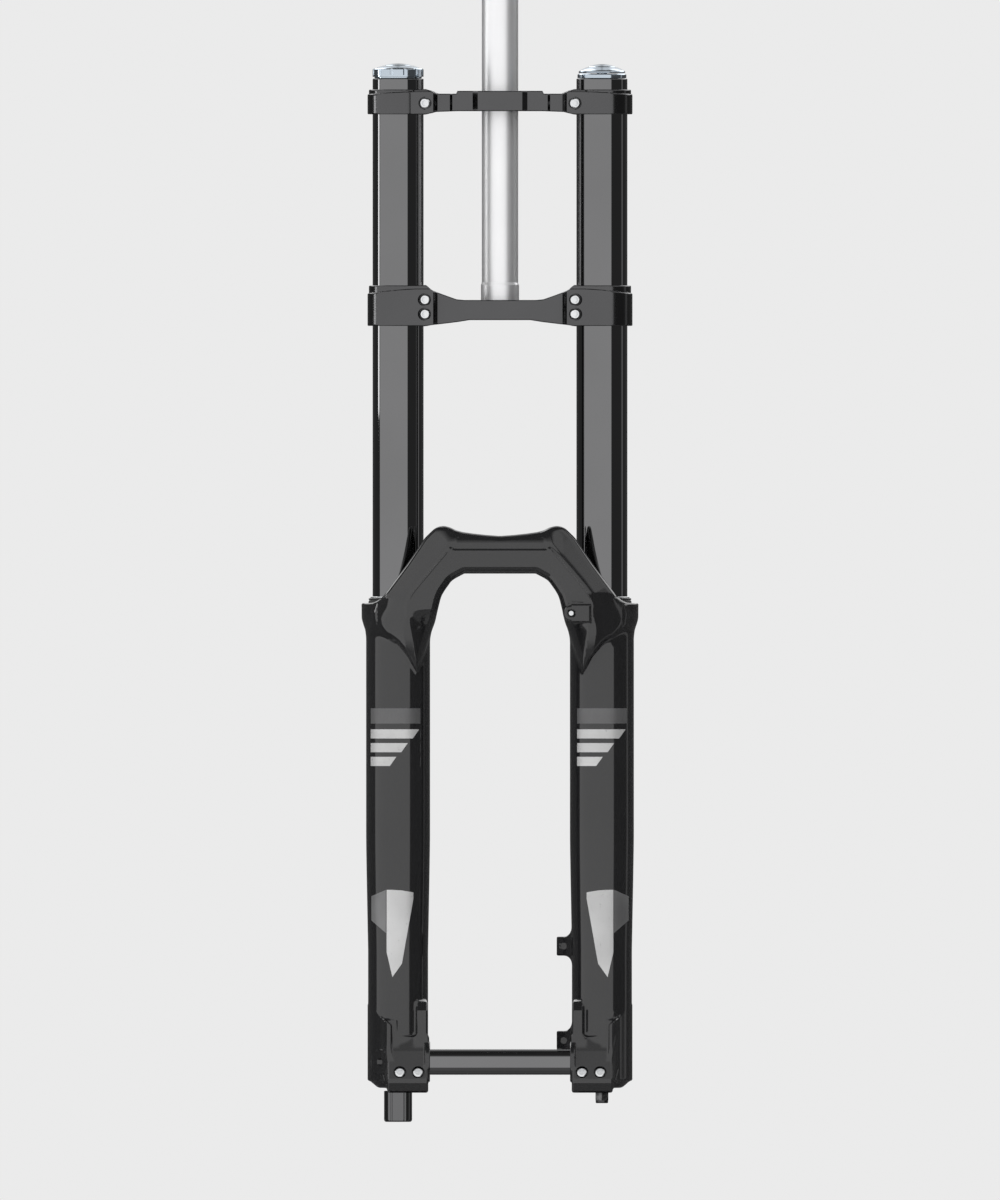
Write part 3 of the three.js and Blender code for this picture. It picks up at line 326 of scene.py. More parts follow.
def slopeOf(field, points, step=0.02):
    columns = []
    for axis in range(3):
        shift = np.zeros(3)
        shift[axis] = step
        ahead = points + shift
        behind = points - shift
        columns.append(field(*ahead.T) - field(*behind.T))
    slope = np.stack(columns, axis=1)
    return slope / np.maximum(np.linalg.norm(slope, axis=1, keepdims=True), 1e-9)


def fieldMesh(name, field, xs, ys, zs):
    # meshes the zero surface on an uneven grid; corners are kept sharp, and normals come from the field
    values = field(xs[:, None, None], ys[None, :, None], zs[None, None, :])
    values = np.broadcast_to(values, (len(xs), len(ys), len(zs)))
    axes = (xs, ys, zs)
    cells = [len(line) - 1 for line in axes]
    solid = values < 0
    edges = []
    for axis in range(3):
        first = [slice(None)] * 3
        second = [slice(None)] * 3
        first[axis] = slice(0, -1)
        second[axis] = slice(1, None)
        changed = np.argwhere(solid[tuple(first)] != solid[tuple(second)])
        keep = np.ones(len(changed), bool)
        for other in range(3):
            if other != axis:
                keep &= (changed[:, other] > 0) & (changed[:, other] < cells[other])
        edges.append(changed[keep])
    points, owners, quads, flips = [], [], [], []
    for axis, index in enumerate(edges):
        low = tuple(index.T)
        step = index.copy()
        step[:, axis] += 1
        a, b = values[low], values[tuple(step.T)]
        start = np.stack([axes[k][index[:, k]] for k in range(3)], axis=1)
        length = axes[axis][step[:, axis]] - axes[axis][index[:, axis]]
        point = start.astype(float)
        point[:, axis] += length * (a / (a - b))
        points.append(point)
        u, v = [(1, 2), (2, 0), (0, 1)][axis]
        ring = []
        for du, dv in ((1, 1), (0, 1), (0, 0), (1, 0)):
            cell = index.copy()
            cell[:, u] -= du
            cell[:, v] -= dv
            ring.append((cell[:, 0] * cells[1] + cell[:, 1]) * cells[2] + cell[:, 2])
        quads.append(np.stack(ring, axis=1))
        flips.append(a > b)
        owners.append(np.full(len(index), axis))
    points = np.concatenate(points)
    quads = np.concatenate(quads)
    flips = np.concatenate(flips)
    owners = np.concatenate(owners)
    normals = slopeOf(field, points)
    # one more step along each edge
    along = normals[np.arange(len(points)), owners]
    left = field(*points.T)
    move = np.where(np.abs(along) > 0.2, left / np.where(np.abs(along) > 0.2, along, 1), 0)
    points[np.arange(len(points)), owners] -= np.clip(move, -0.4, 0.4)
    normals = slopeOf(field, points)
    ids, where = np.unique(quads.ravel(), return_inverse=True)
    where = where.reshape(-1)
    spread = np.repeat(np.arange(len(points)), 4)
    count = np.bincount(where)
    n, p = normals[spread], points[spread]
    centre = np.stack([np.bincount(where, p[:, k]) / count for k in range(3)], axis=1)
    push = np.einsum("ij,ij->i", n, p - centre[where])
    matrix = np.empty((len(ids), 3, 3))
    target = np.empty((len(ids), 3))
    meanNormal = np.empty((len(ids), 3))
    for i in range(3):
        target[:, i] = np.bincount(where, n[:, i] * push)
        meanNormal[:, i] = np.bincount(where, n[:, i]) / count
        for j in range(3):
            matrix[:, i, j] = np.bincount(where, n[:, i] * n[:, j]) + (0.03 if i == j else 0)
    shift = np.linalg.solve(matrix, target[:, :, None])[:, :, 0]
    grid = np.stack(np.unravel_index(ids, cells), axis=1)
    floor = np.stack([axes[k][grid[:, k]] for k in range(3)], axis=1)
    ceiling = np.stack([axes[k][grid[:, k] + 1] for k in range(3)], axis=1)
    vertices = np.clip(centre + shift, floor, ceiling)
    creased = np.linalg.norm(meanNormal, axis=1) < 0.985
    for _ in range(2):
        slope = slopeOf(field, vertices)
        gap = np.clip(field(*vertices.T), -0.5, 0.5)
        vertices = np.where(creased[:, None], vertices, vertices - slope * gap[:, None])
    faces = where.reshape(-1, 4)
    faces = np.where(flips[:, None], faces[:, ::-1], faces)
    mesh = bpy.data.meshes.new(name)
    mesh.from_pydata((vertices * mm).tolist(), [], faces.tolist())
    vertexNormals = slopeOf(field, vertices)
    cornerVertex = faces.ravel()
    corner = vertexNormals[cornerVertex]
    touched = creased[cornerVertex]
    middles = np.repeat(vertices[faces].mean(axis=1), 4, axis=0)
    inward = vertices[cornerVertex] + 0.25 * (middles - vertices[cornerVertex])
    own = slopeOf(field, inward[touched])
    same = np.einsum("ij,ij->i", own, corner[touched]) > 0.97
    corner[touched] = np.where(same[:, None], corner[touched], own)
    mesh.polygons.foreach_set("use_smooth", [True] * len(faces))
    mesh.normals_split_custom_set(corner.tolist())
    piece = bpy.data.objects.new(name, mesh)
    bpy.context.scene.collection.objects.link(piece)
    print(name, "faces:", len(faces))
    return piece


def gridLine(stops):
    # an uneven grid line: (place, step) pairs, each step used up to the next place
    line = []
    for (low, step), (high, _) in zip(stops, stops[1:]):
        line.extend(np.linspace(low, high, max(1, round((high - low) / step)), endpoint=False))
    line.append(stops[-1][0])
    return np.array(line)


def curvePoints(points, steps=6):
    # a smooth open curve through the given points
    points = [np.array(p, float) for p in points]
    ends = [2 * points[0] - points[1], *points, 2 * points[-1] - points[-2]]
    result = []
    for a, b, c, d in zip(ends, ends[1:], ends[2:], ends[3:]):
        for k in range(steps):
            t = k / steps
            result.append(tuple(0.5 * ((2 * b) + (c - a) * t + (2 * a - 5 * b + 4 * c - d) * t * t
                                       + (3 * b - a - 3 * c + d) * t ** 3)))
    result.append(tuple(points[-1]))
    return result


def roundedProfile(points, radius):
    # the same outline with a small arc at each corner
    result = [points[0]]
    for before, here, after in zip(points, points[1:], points[2:]):
        a, b, c = (np.array(p, float) for p in (before, here, after))
        back, ahead = a - b, c - b
        lengths = np.linalg.norm(back), np.linalg.norm(ahead)
        reach = min(radius, 0.45 * lengths[0], 0.45 * lengths[1])
        p, q = b + back / lengths[0] * reach, b + ahead / lengths[1] * reach
        for k in range(4):
            t = k / 3
            result.append(tuple((1 - t) ** 2 * p + 2 * t * (1 - t) * b + t * t * q))
    result.append(points[-1])
    # rings close to each end of a long straight run keep its shading straight
    held = [result[0]]
    for start, end in zip(result, result[1:]):
        a, b = np.array(start, float), np.array(end, float)
        length = np.linalg.norm(b - a)
        if length > 1.2:
            held.append(tuple(a + (b - a) * 0.25 / length))
            held.append(tuple(b - (b - a) * 0.25 / length))
        held.append(end)
    return held


def turnedMesh(name, profile, segments=96, closed=False):
    # profile of (radius, height) in millimetres round the Z axis, wound so that faces point out
    area = 0
    for (r1, z1), (r2, z2) in zip(profile, profile[1:] + profile[:1]):
        area += r1 * z2 - r2 * z1
    profile = profile if area > 0 else profile[::-1]
    mesh = bpy.data.meshes.new(name)
    build = bmesh.new()
    rings = []
    for r, z in profile:
        if r < 1e-6:
            rings.append([build.verts.new((0, 0, z * mm))] * segments)
            continue
        ring = []
        for k in range(segments):
            angle = 2 * math.pi * k / segments
            ring.append(build.verts.new((r * mm * math.cos(angle), r * mm * math.sin(angle), z * mm)))
        rings.append(ring)
    pairs = list(zip(rings, rings[1:]))
    if closed:
        pairs.append((rings[-1], rings[0]))
    for low, high in pairs:
        for k in range(segments):
            after = (k + 1) % segments
            corners = []
            for vertex in (low[k], low[after], high[after], high[k]):
                if vertex not in corners:
                    corners.append(vertex)
            if len(corners) > 2:
                build.faces.new(corners)
    build.to_mesh(mesh)
    build.free()
    return mesh


def addPiece(name, mesh, material, body, *nodes, slot=None, sharp=40):
    piece = bpy.data.objects.new(name, mesh)
    bpy.context.scene.collection.objects.link(piece)
    settle(piece, material, body, *nodes, slot=slot, sharp=sharp)
    return piece


def settle(piece, material, body, *nodes, slot=None, sharp=40):
    piece.data.materials.clear()
    piece.data.materials.append(material)
    if sharp:
        piece.data.polygons.foreach_set("use_smooth", [True] * len(piece.data.polygons))
        piece.data.set_sharp_from_angle(angle=math.radians(sharp))
    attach(piece, body)
    if nodes:
        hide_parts(*nodes)


def moved(mesh, x=0.0, y=0.0, z=0.0):
    mesh.transform(Matrix.Translation((x * mm, y * mm, z * mm)))
    return mesh


def cutMesh(mesh, cutters):
    # takes the cutters away from a mesh, exactly
    whole = bpy.data.objects.new("cutBase", mesh)
    bpy.context.scene.collection.objects.link(whole)
    tools = []
    for cutter in cutters:
        tool = bpy.data.objects.new("cutTool", cutter)
        bpy.context.scene.collection.objects.link(tool)
        step = whole.modifiers.new("cut", "BOOLEAN")
        step.operation = "DIFFERENCE"
        step.solver = "EXACT"
        step.object = tool
        tools.append(tool)
    depsgraph = bpy.context.evaluated_depsgraph_get()
    result = bpy.data.meshes.new_from_object(whole.evaluated_get(depsgraph), depsgraph=depsgraph)
    for spare in [whole, *tools]:
        bpy.data.objects.remove(spare)
    return result


def prismMesh(name, points, low, high):
    # an upright prism on an outline in X and Y
    mesh = bpy.data.meshes.new(name)
    build = bmesh.new()
    bottom = [build.verts.new((x * mm, y * mm, low * mm)) for x, y in points]
    top = [build.verts.new((x * mm, y * mm, high * mm)) for x, y in points]
    build.faces.new(bottom[::-1])
    build.faces.new(top)
    count = len(points)
    for k in range(count):
        after = (k + 1) % count
        build.faces.new([bottom[k], bottom[after], top[after], top[k]])
    bmesh.ops.recalc_face_normals(build, faces=build.faces)
    build.to_mesh(mesh)
    build.free()
    return mesh


def polygon(radius, sides, turn=0.0):
    angles = [2 * math.pi * k / sides + turn for k in range(sides)]
    return [(radius * math.cos(angle), radius * math.sin(angle)) for angle in angles]


stanchion = dict(wall=2, footEdge=1, topEdge=0.5)
steerer = dict(tubeR=14.3, boreR=11.5, seatHeight=11.8, seatStep=0.7, seatCone=1.3, topEdge=0.8)


def buildTubes():
    bore = stanchionR - stanchion["wall"]
    foot, edge = stanchion["footEdge"], stanchion["topEdge"]
    for side, hand in hands:
        low, high = stanchionLow[2], stanchionHigh[2]
        profile = roundedProfile([
            (bore, low), (stanchionR - foot, low), (stanchionR, low + foot), (stanchionR, high - edge),
            (stanchionR - edge, high), (bore, high), (bore, low)], 0.3)[:-1]
        mesh = moved(turnedMesh("stanchion", profile, 160, closed=True), side * legX, legY)
        addPiece(f"stanchionTube_{hand}", mesh, finish["blackTube"], "crown_assembly", f"stanchion_{hand}",
                 slot="black_stanchion")
    low, high = steererLow[2], steererHigh[2]
    tubeR, bore, edge = steerer["tubeR"], steerer["boreR"], steerer["topEdge"]
    seat = steerer["seatHeight"]
    profile = roundedProfile([
        (bore, low), (raceR, low), (raceR, seat), (tubeR, seat + steerer["seatStep"] + steerer["seatCone"]),
        (tubeR, high - edge), (tubeR - edge, high), (bore, high), (bore, low)], 0.5)[:-1]
    addPiece("steererTube", turnedMesh("steerer", profile, 128, closed=True), finish["brightAlloy"],
             "crown_assembly", "steerer_tube", slot="silver_alloy")


buildTubes()
print("tubes built")


crown = dict(slit=2.2, slitToWeb=2.0, earReach=9.0, headR=5.05, headDepth=5.4, shankR=2.8, boltReach=38,
             rear=6.7, lip=1.1, gap=0.05, gridStep=0.95)


def boltHoles(field, x, y, z, nodes, headR, headDepth, shankR, length):
    # counterbored holes on the axes of the frame's own bolts
    for node in nodes:
        top, direction = boltPose(node)
        wx, wy, wz = x - top[0], y - top[1], z - top[2]
        along = wx * direction[0] + wy * direction[1] + wz * direction[2]
        away = np.sqrt(np.maximum(wx * wx + wy * wy + wz * wz - along * along, 1e-9))
        field = np.maximum(field, -np.maximum(away - headR, along - headDepth))
        field = np.maximum(field, -np.maximum(away - shankR, along - length))
    return field


poseStore = {}


def boltPose(node):
    # head-top centre and direction of a bolt, from its own vertices
    if node not in poseStore:
        points = np.array([tuple(v.co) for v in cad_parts[node].data.vertices]) / mm
        centre = points.mean(axis=0)
        _, _, axes = np.linalg.svd(points - centre)
        direction = axes[0]
        if node.startswith("bleed"):
            direction = np.array((0.0, -1.0, 0.0))
        along = (points - centre) @ direction
        away = np.linalg.norm(points - centre - np.outer(along, direction), axis=1)
        if not node.startswith("bleed") and away[along > 0].max() > away[along < 0].max():
            direction, along = -direction, -along
        poseStore[node] = (centre + direction * along.min(), direction)
    return poseStore[node]


def mirroredOutline(half):
    return half + [(-u, v) for u, v in reversed(half)]


def crownField(x, y, z, low, high, lipDrop, earInset, frontPoints, topHalf, bottomHalf, steererHole,
               boltNodes, extras):
    c = crown
    a = np.abs(x)
    side = np.hypot(a - legX, y - legY)
    ear = legX - stanchionR - c["earReach"]
    earFront = legY - math.sqrt(clampR ** 2 - earInset ** 2)
    earOutline = [(legX - earInset, earFront), (ear + 1.5, earFront), (ear, earFront + 2.0),
                  (ear, legY - c["slit"] / 2), (legX - earInset, legY - c["slit"] / 2)]
    # the top edge steps in by a lip whose line climbs from the outside of the clamp towards the ear
    clampPlan = softMin(side - clampR, outlineDistance(a, y, earOutline), 1.5)
    lipZ = high - lipDrop * np.interp(a - legX, [-14, -6, 3, 19, 24], [0.42, 0.48, 0.6, 0.92, 1])
    clamp = np.minimum(softMax(clampPlan, np.maximum(low - z, z - lipZ), 1.2),
                       softMax(clampPlan + c["lip"], np.maximum(low - z, z - high), 1.2))
    webFace = legY + c["slit"] / 2 + 0.2
    reach = legX - stanchionR * 0.55
    waist = ear - 3
    rearR = steererHole + c["rear"]
    half = [*frontPoints, (ear, webFace), (reach, webFace), (reach, legY + clampR * 0.8),
            (waist + 4, legY + clampR * 0.92), (waist - 8, legY + clampR + 4)]
    half += [(rearR * math.cos(t), rearR * math.sin(t)) for t in np.radians(np.linspace(35, 90, 9))]
    web = softMax(outlineDistance(x, y, mirroredOutline(half)), np.maximum(low - z, z - high), 1.6)
    body = softMin(clamp, web, 2.0)
    front = outlineDistance(a, z, [(-40, topHalf[0][1]), *topHalf, *bottomHalf, (-40, bottomHalf[-1][1])])
    for extra in extras:
        body = softMin(body, extra(x, y, z), 1.5)
    body = softMax(body, front, 1.6)
    body = np.maximum(body, -(side - stanchionR - c["gap"]))
    slitEnds = np.maximum(ear - 5 - a, a - (legX - stanchionR + 3))
    slit = np.maximum(np.abs(y - legY) - c["slit"] / 2, slitEnds)
    body = np.maximum(body, -slit)
    body = np.maximum(body, -(np.hypot(x, y) - steererHole - c["gap"]))
    return boltHoles(body, x, y, z, boltNodes, c["headR"], c["headDepth"], c["shankR"], c["boltReach"])


def buildLowerCrown():
    low, high = lowerCrownLow[2], lowerCrownHigh[2]
    webTop, webBottom = 0.0, -15.8
    rise = curvePoints([(legX - 46, 0.6), (legX - 36.7, 3.9), (legX - 30.4, 6.3), (legX - 25.7, 8.6),
                        (legX - 22, high + 1)], 3)
    top = [(legX - 52, webTop), *rise, (legX + 60, high + 1)]
    bottom = [(legX + 60, low - 1), (legX - 20.2, low - 1), (legX - 28.1, low + 0.8),
              (legX - 46.9, low + 3.1), (legX - 56.3, webBottom)]
    webFront = legY + crown["slit"] / 2 + crown["slitToWeb"]
    front = [(0, webFront), (legX - stanchionR - crown["earReach"] - 2, webFront)]
    bolts = [f"lower_clamp_bolt_{hand}_{k}" for hand in ("right", "left") for k in (1, 2)]

    def field(x, y, z):
        return crownField(x, y, z, low, high, 6.2, 4.0, front, top, bottom, raceR, bolts, [])

    piece = fieldMesh("lowerCrownBody", field, *crownGrid(low, high))
    settle(piece, finish["crownAnodise"], "crown_assembly", "lower_crown", slot="anodised_crown", sharp=0)


def crownGrid(low, high):
    step = crown["gridStep"]
    edge = legX + clampR + 2
    return (gridLine([(-edge, step), (edge, step)]),
            gridLine([(legY - clampR - 2, step), (steererLow[1] + 50, step)]),
            gridLine([(low - 2, step), (high + 2, step)]))


stem = dict(halfWidth=33.4, platform=18.6, step=2.3, holeX=50.8, holeY=25.4, holeR=2.6, holeShift=-8.0,
            lugHalf=9, lugReach=13, boltReach=17)


def buildUpperCrown():
    low, high = upperCrownLow[2], upperCrownHigh[2]
    half = stem["halfWidth"]
    platform = low + stem["platform"]
    shoulder = platform - stem["step"]
    top = [(half, platform), (half + 1, shoulder), (legX - 32, shoulder), (legX - 22, high + 1),
           (legX + 60, high + 1)]
    bottom = [(legX + 60, low - 1), (legX - 20, low - 1), (legX - 30, low + 1.9), (half, low + 2.5)]
    webFront = legY + crown["slit"] / 2 + crown["slitToWeb"]
    front = [(0, webFront - 3), (17.5, webFront - 3), (21.5, webFront - 0.4), (half + 4, webFront),
             (half + 6, webFront + 1.5), (legX - stanchionR - crown["earReach"] - 2, webFront + 1.5)]
    bolts = ["upper_clamp_bolt_right", "upper_clamp_bolt_left"]
    tubeR = steerer["tubeR"]

    def clampLug(x, y, z):
        sides = np.maximum(np.abs(x) - stem["lugHalf"], -y)
        rear = np.maximum(y - tubeR - stem["lugReach"], np.maximum(low - z, z - high))
        return softMax(sides, rear, 1.5)

    def field(x, y, z):
        body = crownField(x, y, z, low, high, 3.7, 11.3, front, top, bottom, tubeR, bolts, [clampLug])
        for sideX in (-1, 1):
            for sideY in (-1, 1):
                fromHoleX = x - sideX * stem["holeX"] / 2
                fromHoleY = y - stem["holeShift"] - sideY * stem["holeY"] / 2
                body = np.maximum(body, stem["holeR"] - np.hypot(fromHoleX, fromHoleY))
        slit = np.maximum(np.abs(x) - crown["slit"] / 2, np.maximum(tubeR - 2 - y, y - tubeR - 20))
        body = np.maximum(body, -slit)
        return boltHoles(body, x, y, z, ["steerer_clamp_bolt"], crown["headR"], crown["headDepth"],
                         crown["shankR"], stem["boltReach"])

    piece = fieldMesh("upperCrownBody", field, *crownGrid(low, high))
    settle(piece, finish["crownAnodise"], "crown_assembly", "upper_crown", slot="anodised_crown", sharp=0)


buildLowerCrown()
buildUpperCrown()
print("crowns built")


leg = dict(play=1.3, wallTop=3.8, wallBottom=2.25, collar=8.7, collarHeight=13.1, sealStand=4.4,
           floorToAxle=3.5, axleToBottom=20.3, footHole=4.2, chamferIn=7.9, chamferUp=6.8, sealBore=3.2,
           foamBore=1.6)
arch = dict(clearance=1.8, depth=25.0, pocket=12.0, wall=6.0, hubFace=55.0, underside=23.1, ridge=40.5)
axleBlock = dict(tilt=math.radians(25), rise=19.5, faceTop=8.5, faceBottom=13.2, nose=9.1, toe=14.1,
                 inner=23.7, outer=8.5, heel=12.2, boreGap=0.16, slit=2.3)

cavityR = stanchionR + leg["play"]
legTopR = cavityR + leg["wallTop"]
legBottomR = cavityR + leg["wallBottom"]
collarR = stanchionR + leg["collar"]
legTop = sealHigh[2] - leg["sealStand"]
legFloor = axleZ + axleR + leg["floorToAxle"]
legBottom = axleZ - leg["axleToBottom"]
archRear = legY - (stanchionR + 3.8) - arch["clearance"]
archFront = archRear - arch["depth"]
# heights of the leg and its radius at each, up to where the collar begins
legHeights = [legBottom, legBottom + 108, legBottom + 163, legBottom + 194]
legRadii = [legBottomR, legBottomR, legTopR - 0.5, legTopR]


def legField(a, y, z):
    r = np.hypot(a - legX, y - legY)
    shoulder = legTop - leg["collarHeight"]
    heights = [*legHeights, shoulder - 14, shoulder - 8, shoulder - 3, shoulder + 1, legTop]
    radii = [*legRadii, legTopR, legTopR + 0.7, collarR - 1.2, collarR - 0.1, collarR]
    fine = np.linspace(legBottom, legTop, 500)
    smooth = np.interp(fine, heights, radii)
    kernel = np.hanning(7)
    padded = np.pad(smooth, 3, mode="edge")
    smooth = np.convolve(padded, kernel / kernel.sum(), mode="valid")
    tube = (r - np.interp(z, fine, smooth)) * 0.95
    tube = softMax(tube, z - legTop, 1.6)
    up, across = leg["chamferUp"], leg["chamferIn"]
    cone = ((r - legBottomR + across) * up - (z - legBottom) * across) / math.hypot(up, across)
    tube = softMax(tube, cone, 0.8)
    return softMax(tube, legBottom - z, 1.5)


gusset = dict(outFrom=8.5, frontAt=30.0, inside=2.6, turn=math.radians(61), top=31.5, topSlope=0.85)


def shellField(a, y, z):
    # the leg with the sloping gusset that runs from the axle block to the outside of the leg
    g = gusset
    out = a - legX - g["outFrom"]
    slope = out * math.sin(g["turn"]) + (legY - g["frontAt"] - y) * math.cos(g["turn"])
    top = (z - axleZ - g["top"] - g["topSlope"] * out) * 0.76
    body = softMax(slope, np.maximum(top, a - legX - legBottomR), 1.2)
    body = softMax(body, np.maximum(y - legY, legBottom + 6 - z), 1.2)
    body = softMax(body, np.maximum(-g["inside"] - out, legY - g["frontAt"] - y), 1.2)
    return softMin(legField(a, y, z), body, 1.6)


def at(inset, rise):
    # a place in the front view, from the leg's axis and the leg's top
    return legX - inset, legTop + rise


def archInner():
    return curvePoints([at(20.5, -40), at(24.6, -27), at(26.4, -21.5), at(28.9, -15), at(31.2, -5.4),
                        at(33.6, 4.0), at(35.9, 8.7), at(39.1, 13.4), at(43, 18.1),
                        at(52, arch["underside"])], 3)


def archOutline():
    crest = curvePoints([(-30, legTop + 52.8), (0, legTop + 52.7), at(50.8, 55.8), at(40.5, 59.6),
                         at(34.4, 60.5), at(29.5, 59.0), at(25.7, 55.8), at(21, 51.1)], 3)
    outer = [at(7.2, 30.7), at(-10.1, 7.4), at(-15.5, -0.5), at(-18.5, -8), at(-18, -17), at(-11, -23.0),
             at(-1, -31), at(8, -42), at(14.5, -55)]
    underside = legTop + arch["underside"]
    return [*crest, *outer, *archInner(), (0, underside), (-30, underside)]


def ridgePoints():
    # the raised line that runs along the arch and down each arm into the leg
    return curvePoints([(0, legTop + arch["ridge"]), at(48, arch["ridge"]), at(42.5, arch["ridge"]),
                        at(38.3, 39.5), at(9.8, 5.4), at(7.6, -9), at(11, -27), at(15.5, -55)], 4)


def smoothRise(value):
    held = np.clip(value, 0, 1)
    return held * held * (3 - 2 * held)


archFace = dict(start=0.6, fallOver=64, fallDepth=27, browSlope=0.08, browCurve=0.027, armSlope=0.62,
                innerSlope=0.07, facetWidth=6, facetSlope=0.14, facetStep=1.15, lineHeight=1.1,
                lineArmLess=0.85,
                lineAt=2.6, lineWidth=1.6, rimWidth=5.2, rimSlope=0.75)


def archFrontAt(a, z):
    # height map of the front of the arch: a flat inner band, a step down and a sloping outer band
    f = archFace
    inside = [(-80, legTop + arch["ridge"]), *ridgePoints(), at(15.5, -200), (-80, legTop - 200)]
    side = outlineDistance(a, z, inside)
    fall = np.clip((legTop + 8 - z) / f["fallOver"], 0, 1.2) ** 1.3 * f["fallDepth"]
    # across the middle the outer band is a rounded brow; down the arms it is a straight slope
    arm = smoothRise((a - 30) / 20)
    outer = np.clip(side, 0, None)
    inner = np.clip(-side, 0, None)
    brow = f["browSlope"] * outer + f["browCurve"] * outer ** 2
    # low on the leg the ridge turns into a narrow front facet with a steep inner side
    low = smoothRise((legTop - 4 - z) / 22)
    facet = f["facetWidth"] * low
    slope = f["armSlope"] * np.clip(outer - facet, 0, None) + f["facetSlope"] * np.minimum(outer, facet)
    front = archFront + f["start"] + fall + (1 - arm) * brow + arm * slope + f["innerSlope"] * inner
    front = front + f["facetStep"] * low * np.sqrt(inner ** 2 + 1) - f["facetStep"] * low
    lineHeight = (f["lineHeight"] - f["lineArmLess"] * arm) * (1 - low)
    front = front + lineHeight * np.exp(-((side - f["lineAt"]) / f["lineWidth"]) ** 2)
    underside = legTop + arch["underside"]
    hole = [*archInner(), (0, underside), (-90, underside), (-90, legTop - 200), at(20.5, -200)]
    nearHole = outlineDistance(a, z, hole)
    return front + f["rimSlope"] * np.clip(f["rimWidth"] - nearHole, 0, 9)


def archField(x, y, z):
    a = np.abs(x)
    outline = outlineDistance(a, z, archOutline())
    front = archFrontAt(a, z)
    # low down the front stays near the leg's own surface
    heights = [legBottom, legTop - 24, legTop - 13, legTop]
    reach = np.interp(z, heights, [legTopR, legTopR, collarR, collarR]) + 2.6
    wrap = legY - np.sqrt(np.clip(reach ** 2 - (a - legX) ** 2, 0, None)) - np.clip(legX + 16 - a, 0, None)
    front = np.where(z < legTop + 4, softMax(front, wrap, 3.0), front)
    rear = np.where(z > legTop - 1, archRear, archRear + np.clip((legTop - 1 - z) * 2.5, 0, 24))
    body = softMax(outline, front - y, 4.0)
    body = softMax(body, (y - rear) * 0.7, 2.5)
    pocket = outline + arch["wall"]
    pocket = softMax(pocket, archRear - arch["pocket"] - y, 3.0)
    pocket = softMax(pocket, legTop + 14 - z, 3.0)
    return softMax(body, -pocket, 2.0)


def blockOutline():
    b = axleBlock
    run = math.tan(b["tilt"]) * (b["faceTop"] + b["faceBottom"])
    nose = axleY - axleR - b["nose"]
    toe = axleZ - axleR - b["toe"]
    heel = legY - b["heel"]
    top = axleZ + b["rise"]
    return [(legY + 2, top), (nose + run + 5.6, top), (nose + run, axleZ + b["faceTop"]),
            (nose, axleZ - b["faceBottom"]), (nose + 0.9, axleZ - b["faceBottom"] - 3.5),
            (nose + 4.5, toe + 1.8), (nose + 9, toe), (heel - 1.5, toe), (heel, toe + 2),
            (heel, legBottom + 1), (legY + 2, legBottom + 4)]


# ribs over the block: inner and outer edge from the leg's axis, and height over the axle
ribs = [(23.2, 14.4, 47.5), (-1.7, -9.6, 39.5)]


def ribField(a, y, z, insetFrom, insetTo, rise):
    nose = axleY - 4.2
    front = legY - legBottomR
    foot = axleZ + axleBlock["rise"] - 8
    top = axleZ + rise
    outline = [(front + 14, foot), (nose, foot), (nose - 0.3, top - 7), (front + 5.0, top), (front + 14, top)]
    width = np.maximum(legX - insetFrom - a, a - legX + insetTo)
    return softMax(outlineDistance(y, z, outline), width, 2.5)


# the two brake posts behind the left leg
posts = dict(toAxle=17.0, spacing=74.0, height=15.0, inner=35.5, rear=4.0, holeInner=30.0, holeR=2.6)


def postField(x, y, z):
    p = posts
    inner = legX - p["inner"]
    outline = [(inner, legY + 12), (inner, p["rear"]), (legX - 18, p["rear"]), (legX - 10, legY + 16),
               (legX - 12, legY), (inner + 10, legY + 4)]
    plan = outlineDistance(x, y, outline)
    pair = []
    for k in (0, 1):
        centre = axleZ + p["toAxle"] + k * p["spacing"]
        pair.append(softMax(plan, np.abs(z - centre) - p["height"] / 2, 1.6))
    return np.minimum(*pair)


lug = dict(offset=24.1, drop=8.0, radius=5.9, reach=15.0, half=6.9, stand=1.2)


def lugField(x, y, z):
    cx, cz = legX - lug["offset"], legTop - lug["drop"]
    front = archFront - lug["stand"]
    disc = np.hypot(x - cx, z - cz) - lug["radius"]
    plate = np.maximum(np.maximum(cx - x, x - cx - lug["reach"]), np.abs(z - cz) - lug["half"])
    return softMax(np.minimum(disc, plate), np.maximum(front - y, y - archRear - 3), 2.0)


# bolt holes of the casting: bolts, head radius and depth, shank radius and depth
castingHoles = [
    ([f"axle_clamp_bolt_{hand}_{k}" for hand in ("right", "left") for k in (1, 2)], 5.05, 4.4, 2.8, 25),
    (["hose_guide_screw"], 3.6, 2.3, 2.2, 12),
    (["bleed_screw_right", "bleed_screw_left"], 3.4, 2.2, 1.9, 7),
]


